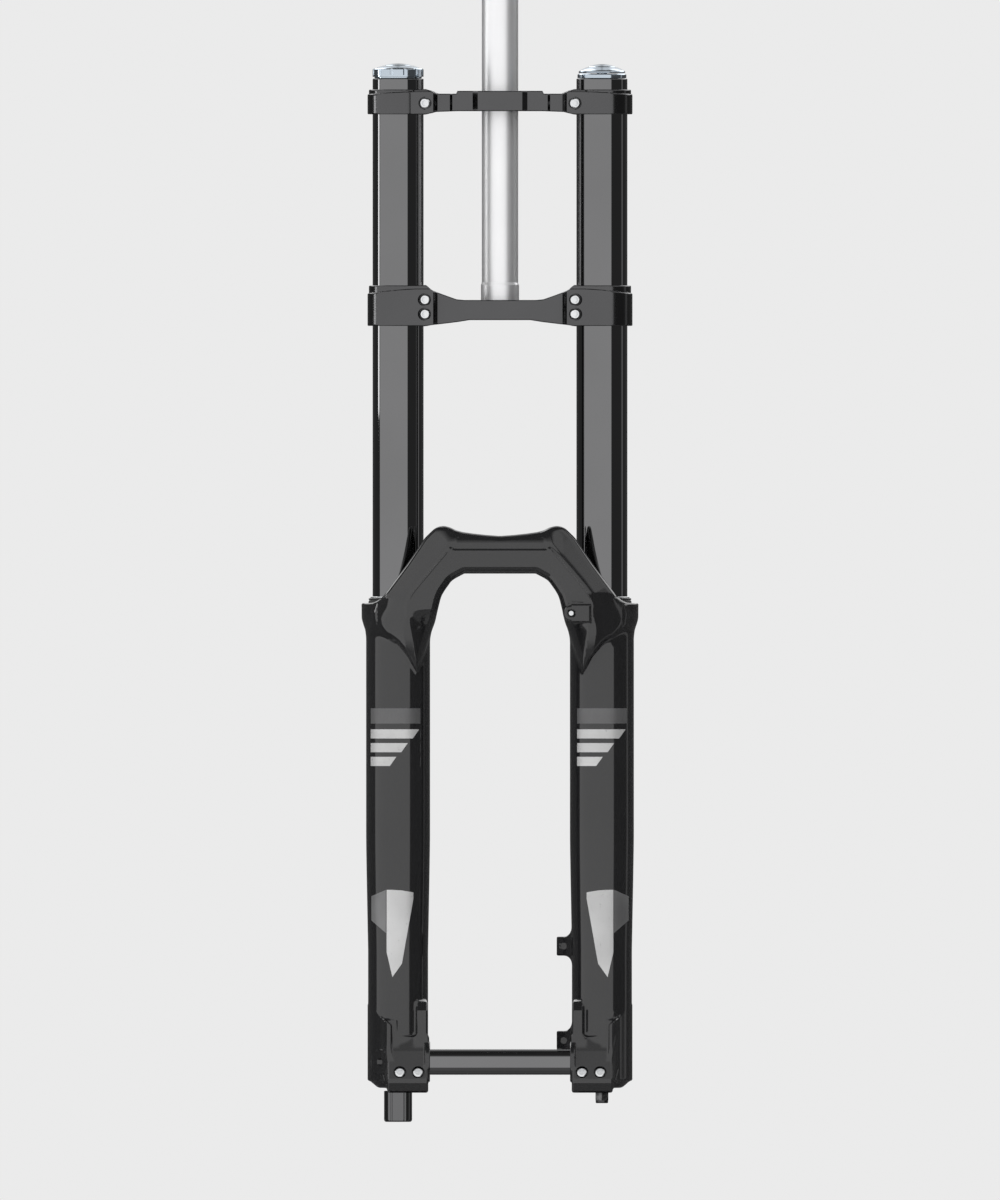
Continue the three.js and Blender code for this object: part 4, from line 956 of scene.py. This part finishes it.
def castingField(x, y, z):
    a = np.abs(x)
    b = axleBlock
    blend = 2.4 + 5.5 * np.clip((a - legX + 1) / 9, 0, 1)
    body = softMin(shellField(a, y, z), archField(x, y, z), blend)
    blockWidth = np.maximum(legX - b["inner"] - a, a - legX - b["outer"])
    block = softMax(outlineDistance(y, z, blockOutline()), blockWidth, 2.2)
    block = softMin(block, np.minimum(*(ribField(a, y, z, *rib) for rib in ribs)), 4.0)
    body = softMin(body, block, 3.0)
    around = np.hypot(y - axleY, z - axleZ)
    boss = softMax(around - axleR - 5.5, np.maximum(arch["hubFace"] - a, a - arch["hubFace"] - 4), 1.0)
    body = softMin(body, boss, 1.6)
    body = softMin(body, postField(x, y, z), 8.0)
    body = softMin(body, lugField(x, y, z), 1.5)
    bleedZ = legTop - leg["collarHeight"] - 24
    bleedReach = np.maximum(legY + 15 - y, y - legY - legTopR - 1.5)
    bleed = softMax(np.hypot(a - legX, z - bleedZ) - 5.5, bleedReach, 1.0)
    body = softMin(body, bleed, 2.5)
    # bores
    r = np.hypot(a - legX, y - legY)
    sealFloor = legTop - leg["collarHeight"] + 2
    bore = np.maximum(r - cavityR, legFloor - z)
    bore = np.minimum(bore, np.maximum(r - cavityR - leg["foamBore"], sealFloor - 8 - z))
    bore = np.minimum(bore, np.maximum(r - cavityR - leg["sealBore"], sealFloor - z))
    bore = np.minimum(bore, r - leg["footHole"])
    body = np.maximum(body, -bore)
    body = np.maximum(body, -np.maximum(around - axleR - b["boreGap"], x - legX - b["outer"]))
    # the pinch slit under each axle bore
    sy, sz = math.sin(b["tilt"]), math.cos(b["tilt"])
    across = (y - axleY) * sz - (z - axleZ) * sy
    down = -(y - axleY) * sy - (z - axleZ) * sz
    slit = np.maximum(np.abs(across) - b["slit"] / 2, np.maximum(axleR * 0.5 - down, y - legY + 8))
    body = np.maximum(body, -np.maximum(slit, np.maximum(axleZ - 60 - z, legX - 40 - a)))
    for holes in castingHoles:
        body = boltHoles(body, x, y, z, *holes)
    p = posts
    for k in (0, 1):
        hole = np.hypot(x - legX + p["holeInner"], z - axleZ - p["toAxle"] - k * p["spacing"])
        body = np.maximum(body, -np.maximum(hole - p["holeR"], p["rear"] - 14 - y))
        body = np.maximum(body, -np.maximum(hole - p["holeR"], y - legY - 12.5))
    return body


def buildCasting():
    fine, long = 1.15, 9.0
    edge = legX + collarR + 3
    xs = gridLine([(-edge, fine), (-42, 2.0), (42, fine), (edge, fine)])
    ys = gridLine([(archFront - 3, fine), (posts["rear"] + 3, fine)])
    toe = axleZ - axleR - axleBlock["toe"]
    zs = gridLine([(toe - 3, 1.05), (axleZ + 56, long), (axleZ + 72, 1.15), (axleZ + 110, long),
                   (legTop - 72, fine), (legTop + 63.5, fine)])
    piece = fieldMesh("lowerCasting", castingField, xs, ys, zs)
    settle(piece, finish["glossPaint"], "lowers", "lower_casting", slot="gloss_black_paint", sharp=0)


bead = dict(radius=0.75, sink=0.25)


def buildArmBeads():
    # a fine raised bead down each arm, laid on the surface of the casting
    path = curvePoints([at(39.5, 39.6), at(37.0, 38.2), at(24, 22.8), at(11.5, 7.6), at(8.6, 0.5)], 8)
    for side, hand in hands:
        spots = []
        depths = np.arange(archFront - 4, archRear, 0.1)
        for u, z in path:
            values = castingField(np.full(len(depths), side * u), depths, np.full(len(depths), z))
            spots.append((side * u, depths[np.argmax(values < 0)] + bead["sink"], z))
        curve = bpy.data.curves.new(f"armBead_{hand}", "CURVE")
        curve.dimensions = "3D"
        curve.bevel_depth = bead["radius"] * mm
        curve.bevel_resolution = 4
        curve.use_fill_caps = True
        line = curve.splines.new("POLY")
        line.points.add(len(spots) - 1)
        for k, spot in enumerate(spots):
            fromEnds = min(4 * k / len(spots), 4 * (len(spots) - 1 - k) / len(spots))
            line.points[k].co = (*(value * mm for value in spot), 1)
            line.points[k].radius = max(0.25, min(1.0, fromEnds))
        holder = bpy.data.objects.new("beadCurve", curve)
        bpy.context.scene.collection.objects.link(holder)
        mesh = bpy.data.meshes.new_from_object(holder)
        bpy.data.objects.remove(holder)
        addPiece(f"armBead_{hand}", mesh, finish["glossPaint"], "lowers", slot="gloss_black_paint")


buildCasting()
buildArmBeads()
print("casting built")


def boltMesh(headR, headHeight, shankR, length, socketR, socketDepth):
    profile = roundedProfile([
        (0, 0), (headR - 0.9, 0), (headR, -0.9), (headR, -headHeight), (shankR, -headHeight),
        (shankR, -length + 0.6), (shankR - 0.6, -length), (0, -length)], 0.35)
    mesh = turnedMesh("bolt", profile, 40)
    socket = prismMesh("socket", polygon(socketR, 6), -socketDepth, 1)
    return cutMesh(mesh, [socket])


def placeBolt(mesh, node, material, body, name, slot):
    top, direction = boltPose(node)
    turn = Vector((0, 0, -1)).rotation_difference(Vector(direction)).to_matrix().to_4x4()
    copy = mesh.copy()
    copy.transform(Matrix.Translation(Vector(top) * mm) @ turn)
    addPiece(name, copy, material, body, node, slot=slot, sharp=35)


bolt = dict(headR=4.1, headHeight=5.0, shankR=2.5, socketR=2.55, socketDepth=2.9, crownLength=36,
            steererLength=16, axleLength=24, axleHead=4, axleSocket=2.4)


def buildBolts():
    headR, height, shankR, socketR = bolt["headR"], bolt["headHeight"], bolt["shankR"], bolt["socketR"]
    crownBolt = boltMesh(headR, height, shankR, bolt["crownLength"], socketR, bolt["socketDepth"])
    axleBolt = boltMesh(headR, bolt["axleHead"], shankR, bolt["axleLength"], socketR, bolt["axleSocket"])
    steererBolt = boltMesh(headR, height, shankR, bolt["steererLength"], socketR, bolt["socketDepth"])
    bleed = boltMesh(2.8, 2, 1.6, 5, 1.5, 1.3)
    guide = boltMesh(2.95, 2, 1.9, 11, 1.5, 1.2)
    steel = finish["boltSteel"]
    for hand in ("right", "left"):
        placeBolt(crownBolt, f"upper_clamp_bolt_{hand}", steel, "crown_assembly",
                  f"upperClampBolt_{hand}", "bright_steel")
        for k in (1, 2):
            placeBolt(crownBolt, f"lower_clamp_bolt_{hand}_{k}", steel, "crown_assembly",
                      f"lowerClampBolt_{hand}_{k}", "bright_steel")
            placeBolt(axleBolt, f"axle_clamp_bolt_{hand}_{k}", steel, "lowers",
                      f"axleClampBolt_{hand}_{k}", "bright_steel")
        placeBolt(bleed, f"bleed_screw_{hand}", finish["blackSteel"], "lowers",
                  f"bleedScrew_{hand}", "anodised_crown")
    placeBolt(steererBolt, "steerer_clamp_bolt", steel, "crown_assembly", "steererClampBolt",
              "bright_steel")
    placeBolt(guide, "hose_guide_screw", steel, "lowers", "hoseGuideScrew", "bright_steel")


buildBolts()
print("bolts built")


seal = dict(gap=0.06, seat=3, rim=1.9, groove=1.3, garterAt=1.0)


def buildSeals():
    inner = stanchionR + seal["gap"]
    seat, rim, groove = cavityR + seal["seat"], cavityR + seal["rim"], cavityR + seal["groove"]
    for side, hand in hands:
        profile = roundedProfile([
            (inner, sealLow[2]), (seat, sealLow[2]), (seat, legTop - 0.3), (rim, legTop + 0.2),
            (rim, legTop + 1.6), (groove, legTop + 1.9), (groove, legTop + 2.5), (rim, legTop + 2.8),
            (cavityR + 1.7, sealHigh[2] - 0.8), (inner + 0.9, sealHigh[2]), (inner, sealHigh[2] - 0.2),
            (inner, sealLow[2])], 0.3)[:-1]
        mesh = moved(turnedMesh("seal", profile, 128, closed=True), side * legX, legY)
        addPiece(f"wiperSeal_{hand}", mesh, finish["sealRubber"], "lowers", f"wiper_seal_{hand}",
                 slot="seal_rubber")
        wire = [(inner + seal["garterAt"] + 0.55 * math.cos(t), sealHigh[2] + 0.1 + 0.5 * math.sin(t))
                for t in np.linspace(0, 2 * math.pi, 13)[:-1]]
        garter = moved(turnedMesh("garter", wire, 128, closed=True), side * legX, legY)
        addPiece(f"garterSpring_{hand}", garter, finish["boltSteel"], "lowers", slot="bright_steel")


axlePiece = dict(bore=7.5, socket=3.4, headGap=0.2)


def axleHeadField(x, y, z):
    # the head fills the bore mouth and carries the leg's own surface across it
    a = np.abs(x)
    around = np.hypot(y - axleY, z - axleZ)
    end = x + legX + axleBlock["outer"] - axlePiece["headGap"]
    head = np.maximum(softMax(around - axleR, shellField(a, y, z), 0.3), end)
    turns = [k * math.pi / 3 for k in range(3)]
    flats = [abs((y - axleY) * math.cos(turn) + (z - axleZ) * math.sin(turn)) for turn in turns]
    socket = np.maximum(np.maximum(flats[0], flats[1]), flats[2]) - axlePiece["socket"] * 0.866
    return np.maximum(head, -socket)


def buildAxle():
    left, right = axleHigh[0], -legX - axleBlock["outer"] + axlePiece["headGap"]
    profile = roundedProfile([
        (0, right + 12), (axlePiece["bore"], right + 12), (axlePiece["bore"], left), (axleR - 0.8, left),
        (axleR, left - 0.8), (axleR, right), (0, right)], 0.2)
    tube = turnedMesh("axle", profile, 96)
    socket = prismMesh("axleSocket", polygon(axlePiece["socket"], 6), right - 1, right + 14)
    mesh = cutMesh(tube, [socket])
    mesh.transform(Matrix.Rotation(math.pi / 2, 4, "Y"))
    mesh = moved(mesh, 0, axleY, axleZ)
    addPiece("thruAxle", mesh, finish["blackTube"], "thru_axle", "thru_axle", slot="black_stanchion")
    reach = axleR + 1
    head = fieldMesh("axleHead", axleHeadField, gridLine([(-legX - legBottomR - 1, 0.5), (right + 1, 0.5)]),
                     gridLine([(axleY - reach, 0.5), (axleY + reach, 0.5)]),
                     gridLine([(axleZ - reach, 0.5), (axleZ + reach, 0.5)]))
    settle(head, finish["glossPaint"], "thru_axle", slot="gloss_black_paint", sharp=0)


cap = dict(notches=12, notchR=1.75, notchOut=1.15, seat=16.8, plugGap=2.05, bore=4.3)


def buildDamperCap():
    low, high = boxOf("damper_top_cap")
    plug = stanchionR - cap["plugGap"]
    ringLow = stanchionHigh[2] + 1.3
    bore = cap["bore"]
    profile = roundedProfile([
        (bore, low[2]), (plug, low[2]), (plug, stanchionHigh[2]), (plug + 0.6, stanchionHigh[2] + 0.3),
        (plug + 0.6, ringLow), (stanchionR, ringLow), (stanchionR, high[2] - 1.0),
        (stanchionR - 1.0, high[2]),
        (cap["seat"] + 0.6, high[2]), (cap["seat"], high[2] - 0.6), (bore, high[2] - 0.6),
        (bore, low[2])], 0.25)[:-1]
    body = turnedMesh("damperCap", profile, 144, closed=True)
    cutters = []
    for k in range(cap["notches"]):
        turn = 2 * math.pi * (k + 0.5) / cap["notches"]
        reach = stanchionR + cap["notchOut"]
        cutter = prismMesh("capNotch", polygon(cap["notchR"], 20), ringLow + 1.4, high[2] + 2)
        cutters.append(moved(cutter, reach * math.cos(turn), reach * math.sin(turn)))
    mesh = moved(cutMesh(body, [joinMeshes(cutters)]), -legX, legY)
    addPiece("damperTopCap", mesh, finish["blueSilver"], "crown_assembly", "damper_top_cap",
             slot="blue_silver", sharp=30)


def joinMeshes(meshes):
    build = bmesh.new()
    for mesh in meshes:
        build.from_mesh(mesh)
    joined = bpy.data.meshes.new("joined")
    build.to_mesh(joined)
    build.free()
    return joined


def domeField(x, y, z, radius, base, crest, fall, neck, hollow):
    # a low dome with a shallow ring groove
    r = np.hypot(x, y)
    body = softMax(r - radius, np.maximum(base - z, (z - crest + fall * r * r) * 0.92), 1.2)
    grooveR = radius * 0.62
    body = softMax(body, 0.45 - np.hypot(r - grooveR, z - crest + fall * grooveR ** 2 - 0.2), 0.8)
    stemRod = np.maximum(r - neck[0], np.maximum(neck[1] - z, z - base - 1))
    return np.maximum(np.minimum(body, stemRod), -np.maximum(r - hollow[0], z - hollow[1]))


dome = dict(knobR=17.4, knobFall=0.0118, capR=18.4, capFall=0.0165, step=0.48)


def buildDome(name, node, radius, base, fall, neck, hollow, side, body):
    crest = boxOf(node)[1][2]

    def field(x, y, z):
        return domeField(x, y, z, radius, base, crest, fall, neck, hollow)

    line = gridLine([(-radius - 1, dome["step"]), (radius + 1, dome["step"])])
    piece = fieldMesh(name, field, line, line, gridLine([(min(base, neck[1]) - 1, 0.4), (crest + 1, 0.4)]))
    moved(piece.data, side * legX, legY)
    settle(piece, finish["blueSilver"], body, node, slot="blue_silver", sharp=0)


def buildCompressionKnob():
    low = boxOf("compression_knob")[0][2]
    base = boxOf("damper_top_cap")[1][2] + 0.15
    buildDome("compressionKnob", "compression_knob", dome["knobR"], base, dome["knobFall"], (4.0, low),
              (0, low), -1, "compression_knob")


def buildSpringCap():
    low, high = boxOf("spring_top_cap")
    rim = (high[0] - low[0]) / 2
    plug = stanchionR - cap["plugGap"]
    seat = stanchionHigh[2] + 0.3
    bore = cap["bore"]
    profile = roundedProfile([
        (bore, low[2]), (plug, low[2]), (plug, stanchionHigh[2]), (plug + 0.6, seat), (rim, seat),
        (rim, high[2] - 0.9), (rim - 0.9, high[2]), (bore, high[2]), (bore, low[2])], 0.3)[:-1]
    body = turnedMesh("springCap", profile, 144, closed=True)
    mesh = moved(body, legX, legY)
    addPiece("springTopCap", mesh, finish["blueSilver"], "crown_assembly", "spring_top_cap",
             slot="blue_silver", sharp=30)


def buildAirCap():
    low, high = boxOf("air_cap")
    buildDome("airCap", "air_cap", dome["capR"], low[2], dome["capFall"], (6.5, low[2]),
              (5.4, high[2] - 2.4), 1, "air_cap")


rebound = dict(flatIn=0.9, grooveAt=28.5, grooveR=0.8, bore=2.6, skirt=11.0, roof=3.0)


def buildReboundKnob():
    # a round knob with two flats and a groove on each side of them, open at the top
    low, high = boxOf("rebound_knob")
    radius = (high[0] - low[0]) / 2
    r = rebound

    def field(x, y, z):
        body = np.hypot(x, y) - radius
        for turn in (math.pi / 2, -math.pi / 2):
            body = softMax(body, x * math.cos(turn) + y * math.sin(turn) - radius + r["flatIn"], 0.3)
            for angle in (turn - math.radians(r["grooveAt"]), turn + math.radians(r["grooveAt"])):
                groove = np.hypot(x - radius * math.cos(angle), y - radius * math.sin(angle)) - r["grooveR"]
                body = softMax(body, -groove, 0.2)
        body = softMax(body, low[2] - z, 2.2)
        body = softMax(body, z - high[2], 0.8)
        inside = np.maximum(np.hypot(x, y) - radius + 2, low[2] + r["skirt"] - z)
        bore = np.maximum(np.hypot(x, y) - r["bore"], low[2] + r["roof"] - z)
        slot = np.maximum(np.maximum(np.abs(y) - 0.9, np.abs(x) - 5.5), z - low[2] - 1.2)
        return np.maximum(body, -np.minimum(np.minimum(inside, bore), slot))

    line = gridLine([(-radius - 1.5, 0.3), (radius + 1.5, 0.3)])
    rise = gridLine([(low[2] - 1, 0.4), (low[2] + 4, 0.9), (high[2] - 2, 0.4), (high[2] + 1, 0.4)])
    piece = fieldMesh("reboundKnob", field, line, line, rise)
    moved(piece.data, -legX, legY)
    settle(piece, finish["knobBlack"], "rebound_knob", "rebound_knob", slot="gloss_black_knob", sharp=0)


foot = dict(hexR=5.85, stubR=4.9, flangeR=6.6, boreR=3.95)


def buildFootNuts():
    stubR, flangeR = foot["stubR"], foot["flangeR"]
    for side, hand in hands:
        low, high = boxOf(f"foot_nut_{hand}")
        hexagon = prismMesh("footHex", polygon(foot["hexR"], 6, math.pi / 6), low[2] + 2.2, high[2] - 1.2)
        stub = turnedMesh("footStub", roundedProfile([
            (0, low[2]), (stubR - 0.6, low[2]), (stubR, low[2] + 0.6), (stubR, low[2] + 2.6),
            (0, low[2] + 2.6)], 0.2), 48)
        flange = turnedMesh("footFlange", roundedProfile([
            (0, high[2] - 1.6), (flangeR, high[2] - 1.6), (flangeR, high[2]), (0, high[2])], 0.3), 48)
        hole = prismMesh("footBore", polygon(foot["boreR"], 40), low[2] - 1, high[2] + 1)
        parts = [cutMesh(part, [hole.copy()]) for part in (hexagon, stub, flange)]
        mesh = moved(joinMeshes(parts), side * legX, legY)
        addPiece(f"footNut_{hand}", mesh, finish["blackSteel"], "lowers", f"foot_nut_{hand}",
                 slot="anodised_crown", sharp=30)


buildSeals()
buildAxle()
buildDamperCap()
buildCompressionKnob()
buildSpringCap()
buildAirCap()
buildReboundKnob()
buildFootNuts()
print("caps, knobs and feet built")


graphic = dict(lift=0.06, barTop=-320.5, barBottom=-332.5, barLeft=-20.5, barRight=18.5, shift=1.0,
               stripes=(38.0, 29.0, 20.0), stripeGap=4.5, stripePitch=10.8, stripeHeight=7.2)


def legRadiusAt(z):
    return float(np.interp(z, [*legHeights, legTop], [*legRadii, legTopR]))


def printPatch(name, side, columns, material):
    # a thin print wrapped on the front of a leg; columns are (x from the leg's axis, top, bottom)
    mesh = bpy.data.meshes.new(name)
    build = bmesh.new()
    previous = None
    fine = []
    for (x0, t0, b0), (x1, t1, b1) in zip(columns, columns[1:]):
        steps = max(1, int(abs(x1 - x0) / 0.8))
        for k in range(steps):
            f = k / steps
            fine.append((x0 + (x1 - x0) * f, t0 + (t1 - t0) * f, b0 + (b1 - b0) * f))
    fine.append(columns[-1])
    rows = 12
    for x, top, bottom in fine:
        column = []
        for k in range(rows + 1):
            z = top + (bottom - top) * k / rows
            radius = legRadiusAt(z) + graphic["lift"]
            y = legY - math.sqrt(max(radius * radius - x * x, 0))
            column.append(build.verts.new(((side * legX + x) * mm, y * mm, z * mm)))
        if previous:
            for k in range(rows):
                build.faces.new([previous[k + 1], column[k + 1], column[k], previous[k]])
        previous = column
    build.to_mesh(mesh)
    build.free()
    addPiece(name, mesh, material, "lowers", slot="silver_alloy", sharp=0)
    for face in mesh.polygons:
        face.use_smooth = True


def buildGraphics():
    g = graphic
    for side, hand in hands:
        left, right = g["barLeft"] + side * g["shift"], g["barRight"] + side * g["shift"]
        band = [(left, g["barTop"], g["barBottom"]), (right, g["barTop"], g["barBottom"])]
        printPatch(f"printBand_{hand}", side, band, printGrey)
        for k, length in enumerate(g["stripes"]):
            top = g["barBottom"] - g["stripeGap"] - k * g["stripePitch"]
            bottom = top - g["stripeHeight"]
            stripe = [(left, top, bottom), (left + length - 5, top, bottom),
                      (left + length, top, top - 0.2)]
            printPatch(f"printStripe_{hand}_{k + 1}", side, stripe, printSilver)
        wing = [(-21.0, -468, -487), (-9.5, -463, -497)]
        blade = [(-9.0, -463, -512), (-4.5, -463, -531.5), (3.0, -463.5, -521), (12.0, -465, -470)]
        if side > 0:
            wing = [(-x, top, bottom) for x, top, bottom in reversed(wing)]
            blade = [(-x, top, bottom) for x, top, bottom in reversed(blade)]
        printPatch(f"printWing_{hand}", side, wing, printDull)
        printPatch(f"printBlade_{hand}", side, blade, printSilver)


buildGraphics()
print("graphics built")


# finishes for the inner pieces that stay as packed
innerFinish = {
    "oiledFoam": ["foam_ring_right", "foam_ring_left"],
    "bearingBronze": ["upper_bushing_right", "upper_bushing_left", "lower_bushing_right",
                      "lower_bushing_left", "rebound_piston", "valve_core_pin"],
    "boltSteel": ["crush_washer_right", "crush_washer_left", "damper_shaft", "air_shaft",
                  "rebound_adjuster_rod", "air_valve_body", "floating_piston_spring"],
    "brightAlloy": ["damper_cartridge_tube", "compression_valve"],
    "mouldedNylon": ["floating_piston", "volume_spacer", "air_piston"],
    "blackSteel": ["damper_seal_head", "air_seal_head"],
    "sealRubber": ["damper_top_out_bumper", "air_top_out_bumper"],
}
for finishName, nodeNames in innerFinish.items():
    for nodeName in nodeNames:
        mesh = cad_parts[nodeName].data
        mesh.materials.clear()
        mesh.materials.append(finish[finishName])


studio = dict(backdrop=0.83, dark=0.11, floorDrop=0.095, floorHalf=30.0)


def panelMask(tree, azimuth, height, left, right, low, high, soft, softHigh):
    # one soft panel of light, by compass angle and height angle in degrees
    a1 = ramp(tree, azimuth, left - soft, left + soft, 0, 1)
    a2 = ramp(tree, azimuth, right - soft, right + soft, 1, 0)
    h1 = ramp(tree, height, low - soft, low + soft, 0, 1)
    h2 = ramp(tree, height, high - softHigh, high + softHigh, 1, 0)
    across = mathNode(tree, "MULTIPLY", a1, a2)
    return mathNode(tree, "MULTIPLY", across, mathNode(tree, "MULTIPLY", h1, h2))


panels = [
    # left, right, low, high, edge softness, softness of the upper edge (all in degrees), strength
    (-91, 43.5, -52, 53, 1.2, 8.0, 1.32),
    (101, 109, -60, 10, 2.0, 3.0, 0.5),
    (52, 98, 24, 62, 5.0, 5.0, 1.1),
    (-180, 180, -88, -52, 1.0, 1.0, 0.28),
    (112, 166, 14, 50, 3.0, 3.0, 2.6),
    (-166, -120, 20, 60, 3.0, 3.0, 3.4),
    (166, 180, 4, 60, 3.0, 3.0, 1.0),
    (-180, -166, 4, 60, 3.0, 3.0, 1.0),
]


def buildWorld():
    world = bpy.data.worlds.new("studio")
    bpy.context.scene.world = world
    world.use_nodes = True
    tree = world.node_tree
    tree.nodes.clear()
    out = tree.nodes.new("ShaderNodeOutputWorld")
    coords = tree.nodes.new("ShaderNodeTexCoord")
    parts = tree.nodes.new("ShaderNodeSeparateXYZ")
    tree.links.new(coords.outputs["Generated"], parts.inputs["Vector"])
    x, y, z = (parts.outputs[axis] for axis in ("X", "Y", "Z"))
    forward = mathNode(tree, "MULTIPLY", y, -1.0)
    turn = mathNode(tree, "MULTIPLY", mathNode(tree, "ARCTAN2", x, forward), 180 / math.pi)
    squares = mathNode(tree, "ADD", mathNode(tree, "MULTIPLY", x, x), mathNode(tree, "MULTIPLY", y, y))
    flat = mathNode(tree, "SQRT", squares)
    height = mathNode(tree, "MULTIPLY", mathNode(tree, "ARCTAN2", z, flat), 180 / math.pi)
    total = None
    for *edges, strength in panels:
        mask = mathNode(tree, "MULTIPLY", panelMask(tree, turn, height, *edges), strength)
        total = mask if total is None else mathNode(tree, "ADD", total, mask)
    total = mathNode(tree, "ADD", total, studio["dark"])
    lit = tree.nodes.new("ShaderNodeBackground")
    tree.links.new(total, lit.inputs["Strength"])
    plain = tree.nodes.new("ShaderNodeBackground")
    plain.inputs["Color"].default_value = (*[studio["backdrop"]] * 3, 1)
    rays = tree.nodes.new("ShaderNodeLightPath")
    mix = tree.nodes.new("ShaderNodeMixShader")
    tree.links.new(rays.outputs["Is Camera Ray"], mix.inputs["Fac"])
    tree.links.new(lit.outputs["Background"], mix.inputs[1])
    tree.links.new(plain.outputs["Background"], mix.inputs[2])
    tree.links.new(mix.outputs["Shader"], out.inputs["Surface"])


def buildFloor():
    mesh = bpy.data.meshes.new("studioFloor")
    half = studio["floorHalf"]
    height = castingLow[2] * mm - studio["floorDrop"]
    corners = [(x * half, y * half, height) for x, y in ((-1, -1), (1, -1), (1, 1), (-1, 1))]
    mesh.from_pydata(corners, [], [(0, 1, 2, 3)])
    floor = bpy.data.objects.new("studioFloor", mesh)
    bpy.context.scene.collection.objects.link(floor)
    material = bpy.data.materials.new("floorPaper")
    material.use_nodes = True
    tree = material.node_tree
    shader = tree.nodes["Principled BSDF"]
    shader.inputs["Roughness"].default_value = 0.9
    grain = placeGroup(tree, grainGroup, Scale=300.0)
    paper = mixColour(tree, grain.outputs["Tone"], (0.8, 0.8, 0.8), (0.83, 0.83, 0.83))
    tree.links.new(paper, shader.inputs["Base Color"])
    mesh.materials.append(material)
    floor.visible_glossy = False


def addLamp(name, place, aim, size, power, inReflections=False):
    lamp = bpy.data.lights.new(name, "AREA")
    lamp.shape = "RECTANGLE"
    lamp.size, lamp.size_y = size
    lamp.energy = power
    holder = bpy.data.objects.new(name, lamp)
    bpy.context.scene.collection.objects.link(holder)
    holder.location = place
    holder.rotation_euler = (Vector(aim) - Vector(place)).to_track_quat("-Z", "Y").to_euler()
    holder.visible_glossy = inReflections
    holder.visible_camera = False


view = dict(scale=0.942, centreZ=-0.2355, distance=3.0)


def buildCamera():
    camera = bpy.data.cameras.new("frontCamera")
    camera.type = "ORTHO"
    camera.ortho_scale = view["scale"]
    camera.clip_end = 100
    holder = bpy.data.objects.new("frontCamera", camera)
    bpy.context.scene.collection.objects.link(holder)
    holder.location = (0, -view["distance"], view["centreZ"])
    holder.rotation_euler = (math.pi / 2, 0, 0)
    bpy.context.scene.camera = holder


buildWorld()
buildFloor()
addLamp("keySoftbox", (-1.2, -2.0, 1.2), (0, 0, -0.2), (1.4, 1.4), 14)
addLamp("rearSoftbox", (1.4, 2.2, 1.0), (0, 0, -0.2), (1.2, 1.2), 10)
addLamp("sideStrip", (-1.47, 0.16, 0.115), (0, 0, 0.115), (0.2, 0.41), 1.2, inReflections=True)
buildCamera()
bpy.context.scene.view_settings.view_transform = "Standard"
print("studio built")
